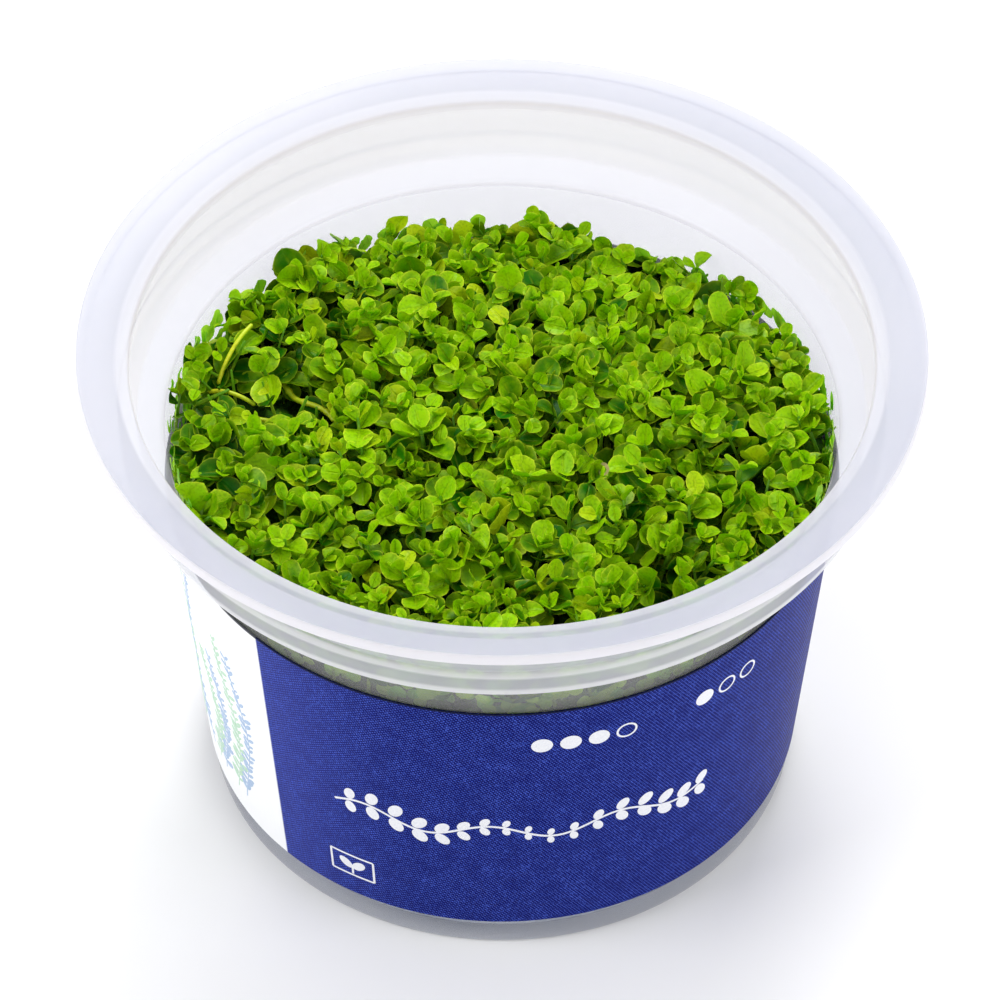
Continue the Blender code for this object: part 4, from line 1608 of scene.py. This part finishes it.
@dataclass
class Runners:
    """The bare creeping stems that show in the hollows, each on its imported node's line."""

    names: tuple[str, ...] = ("runner_01", "runner_02")
    sides: int = 10
    points: int = 40
    radius: float = 0.00042
    arch_share: float = 0.62
    arches: tuple[tuple[Place, Place, Place], ...] = (
        ((-0.0345, 0.0100, 0.0500), (-0.0330, 0.0132, 0.0535), (-0.0306, 0.0168, 0.0532)),
        ((-0.0250, 0.0194, 0.0500), (-0.0228, 0.0190, 0.0535), (-0.0206, 0.0184, 0.0500)),
        ((-0.0355, 0.0085, 0.0500), (-0.0330, 0.0080, 0.0512), (-0.0300, 0.0068, 0.0495)),
    )

    def line(self, name: str) -> np.ndarray:
        """The middle line of a packed runner, from one end to the other.

        The node's points are sorted along its longest way and averaged in slices.

        Args:
            name: the node's name.

        Returns:
            (k, 3) places.
        """
        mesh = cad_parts[name].data
        points = np.empty(len(mesh.vertices) * 3, np.float32)
        mesh.vertices.foreach_get("co", points)
        points = np.unique(points.reshape(-1, 3).round(7), axis=0)
        middle = points.mean(axis=0)
        long = np.linalg.svd(points - middle)[2][0]
        share = (points - middle) @ long
        slices = np.linspace(share.min(), share.max(), 10)
        which = np.clip(np.digitize(share, slices) - 1, 0, 8)
        rows = [points[which == k].mean(axis=0) for k in range(9) if (which == k).any()]
        rows = np.array(rows)
        even = np.linspace(0.0, len(rows) - 1.0, self.points)
        return np.stack([np.interp(even, np.arange(len(rows)), rows[:, k]) for k in range(3)], -1)

    def arch_paths(self) -> np.ndarray:
        """The middle lines of the arched stems, (n, k, 3), each a curve bent by its middle place."""
        start, middle, end = np.array(self.arches).transpose(1, 0, 2)[:, :, None]
        share = np.linspace(0.0, 1.0, self.points)[None, :, None]
        return (1 - share) ** 2 * start + 2 * share * (1 - share) * middle + share**2 * end

    def packed_lines(self) -> list[np.ndarray]:
        """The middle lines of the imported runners, between which no shoot stands."""
        return [self.line(name) for name in self.names]

    def bare_lines(self) -> list[np.ndarray]:
        """The lines over which the leaves part: the first runner and the arched stems."""
        return [self.line(self.names[0]), *self.arch_paths()]

    def build(self) -> None:
        """Builds each runner with swollen joints, and the small arched stems beside them."""
        look = StemFinish("runner_green", pale=(0.88, 0.88, 0.02), green=(0.66, 0.82, 0.02)).material()
        for name in self.names:
            path = self.line(name)
            share = np.linspace(0.0, 1.0, self.points)
            bends = [0.0004 * np.sin(share * 9.0), 0.0003 * np.cos(share * 7.0), 0.0 * share]
            path = path + np.stack(bends, axis=-1)
            joints = np.exp(-(((share * 4.0) % 1.0 - 0.5) ** 2) / 0.008)
            radii = self.radius * (0.92 + 0.42 * joints) * (1.0 - 0.25 * share)
            tubes(path[None], radii[None], self.sides).piece(name + "_stem", look, Slot.RUNNER, name)
        paths = self.arch_paths()
        radii = np.full(paths.shape[:2], self.radius * self.arch_share)
        tubes(paths, radii, self.sides).piece("arched_stems", look, Slot.RUNNER, "carpet_mat")


# The studio


@dataclass
class Studio:
    """A plain pale floor, plain soft light and the camera."""

    camera_at: Place = (-0.00024, -0.37837, 0.43594)
    camera_tilt: float = math.radians(43.69)
    lens: float = 162.0
    floor_size: float = 3.0
    floor_drop: float = 0.00005
    sky_strength: float = 0.72
    lamp_size: float = 0.35
    lamps: tuple[tuple[str, Place, float], ...] = (
        ("lamp_back", (0.10, 0.50, 0.80), 4.8),
        ("lamp_left", (-0.55, -0.20, 0.65), 2.7),
        ("lamp_right", (0.65, -0.25, 0.50), 1.7),
    )

    def floor(self) -> None:
        """Lays the floor just under the cup's foot."""
        half = self.floor_size / 2
        near = [(-half, -half, -self.floor_drop), (half, -half, -self.floor_drop)]
        far = [(-half, half, -self.floor_drop), (half, half, -self.floor_drop)]
        mesh = grid(np.array([near, far])).mesh("floor")
        mesh.materials.append(FloorFinish().material())
        floor = bpy.data.objects.new("floor", mesh)
        bpy.context.scene.collection.objects.link(floor)

    def lamp(self, name: str, at: Place, power: float) -> None:
        """Hangs one soft lamp that faces the cup.

        Args:
            name: the lamp's name.
            at: its place.
            power: its power in watts.
        """
        data = bpy.data.lights.new(name, "AREA")
        data.shape = "SQUARE"
        data.size = self.lamp_size
        data.energy = power
        lamp = bpy.data.objects.new(name, data)
        bpy.context.scene.collection.objects.link(lamp)
        lamp.location = at
        x, y, z = at[0], at[1], at[2] - 0.05
        lamp.rotation_euler = (math.atan2(math.hypot(x, y), z), 0.0, math.atan2(y, x) + math.pi / 2)

    def sky(self) -> None:
        """An even pale light from all round."""
        world = bpy.data.worlds.new("studio")
        bpy.context.scene.world = world
        world.use_nodes = True
        back = world.node_tree.nodes["Background"]
        back.inputs["Color"].default_value = (1.0, 1.0, 1.0, 1.0)
        back.inputs["Strength"].default_value = self.sky_strength

    def camera(self) -> None:
        """Sets the camera at the photograph's angle."""
        data = bpy.data.cameras.new("camera")
        data.lens = self.lens
        data.sensor_width = 36.0
        data.clip_start = 0.01
        data.clip_end = 20.0
        camera = bpy.data.objects.new("camera", data)
        bpy.context.scene.collection.objects.link(camera)
        camera.location = self.camera_at
        camera.rotation_euler = (self.camera_tilt, 0.0, 0.0)
        bpy.context.scene.camera = camera

    def build(self) -> None:
        """Builds the studio."""
        self.floor()
        self.sky()
        for lamp in self.lamps:
            self.lamp(*lamp)
        self.camera()
        bpy.context.scene.view_settings.view_transform = "Standard"


def note_sizes() -> None:
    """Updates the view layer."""
    bpy.context.view_layer.update()


def main() -> None:
    """Builds the cup, its label and gel, the plants and the studio, in that order."""
    logging.basicConfig(level=logging.INFO, format="%(name)s %(message)s")
    cup = CultureCup()
    cup.build()
    WrapLabel(cup).build()
    GelLayer(cup).build()
    runners = Runners()
    PlantCarpet(cup, runners.packed_lines(), runners.bare_lines()).build()
    runners.build()
    Studio().build()
    note_sizes()


if __name__ == "__main__":
    main()
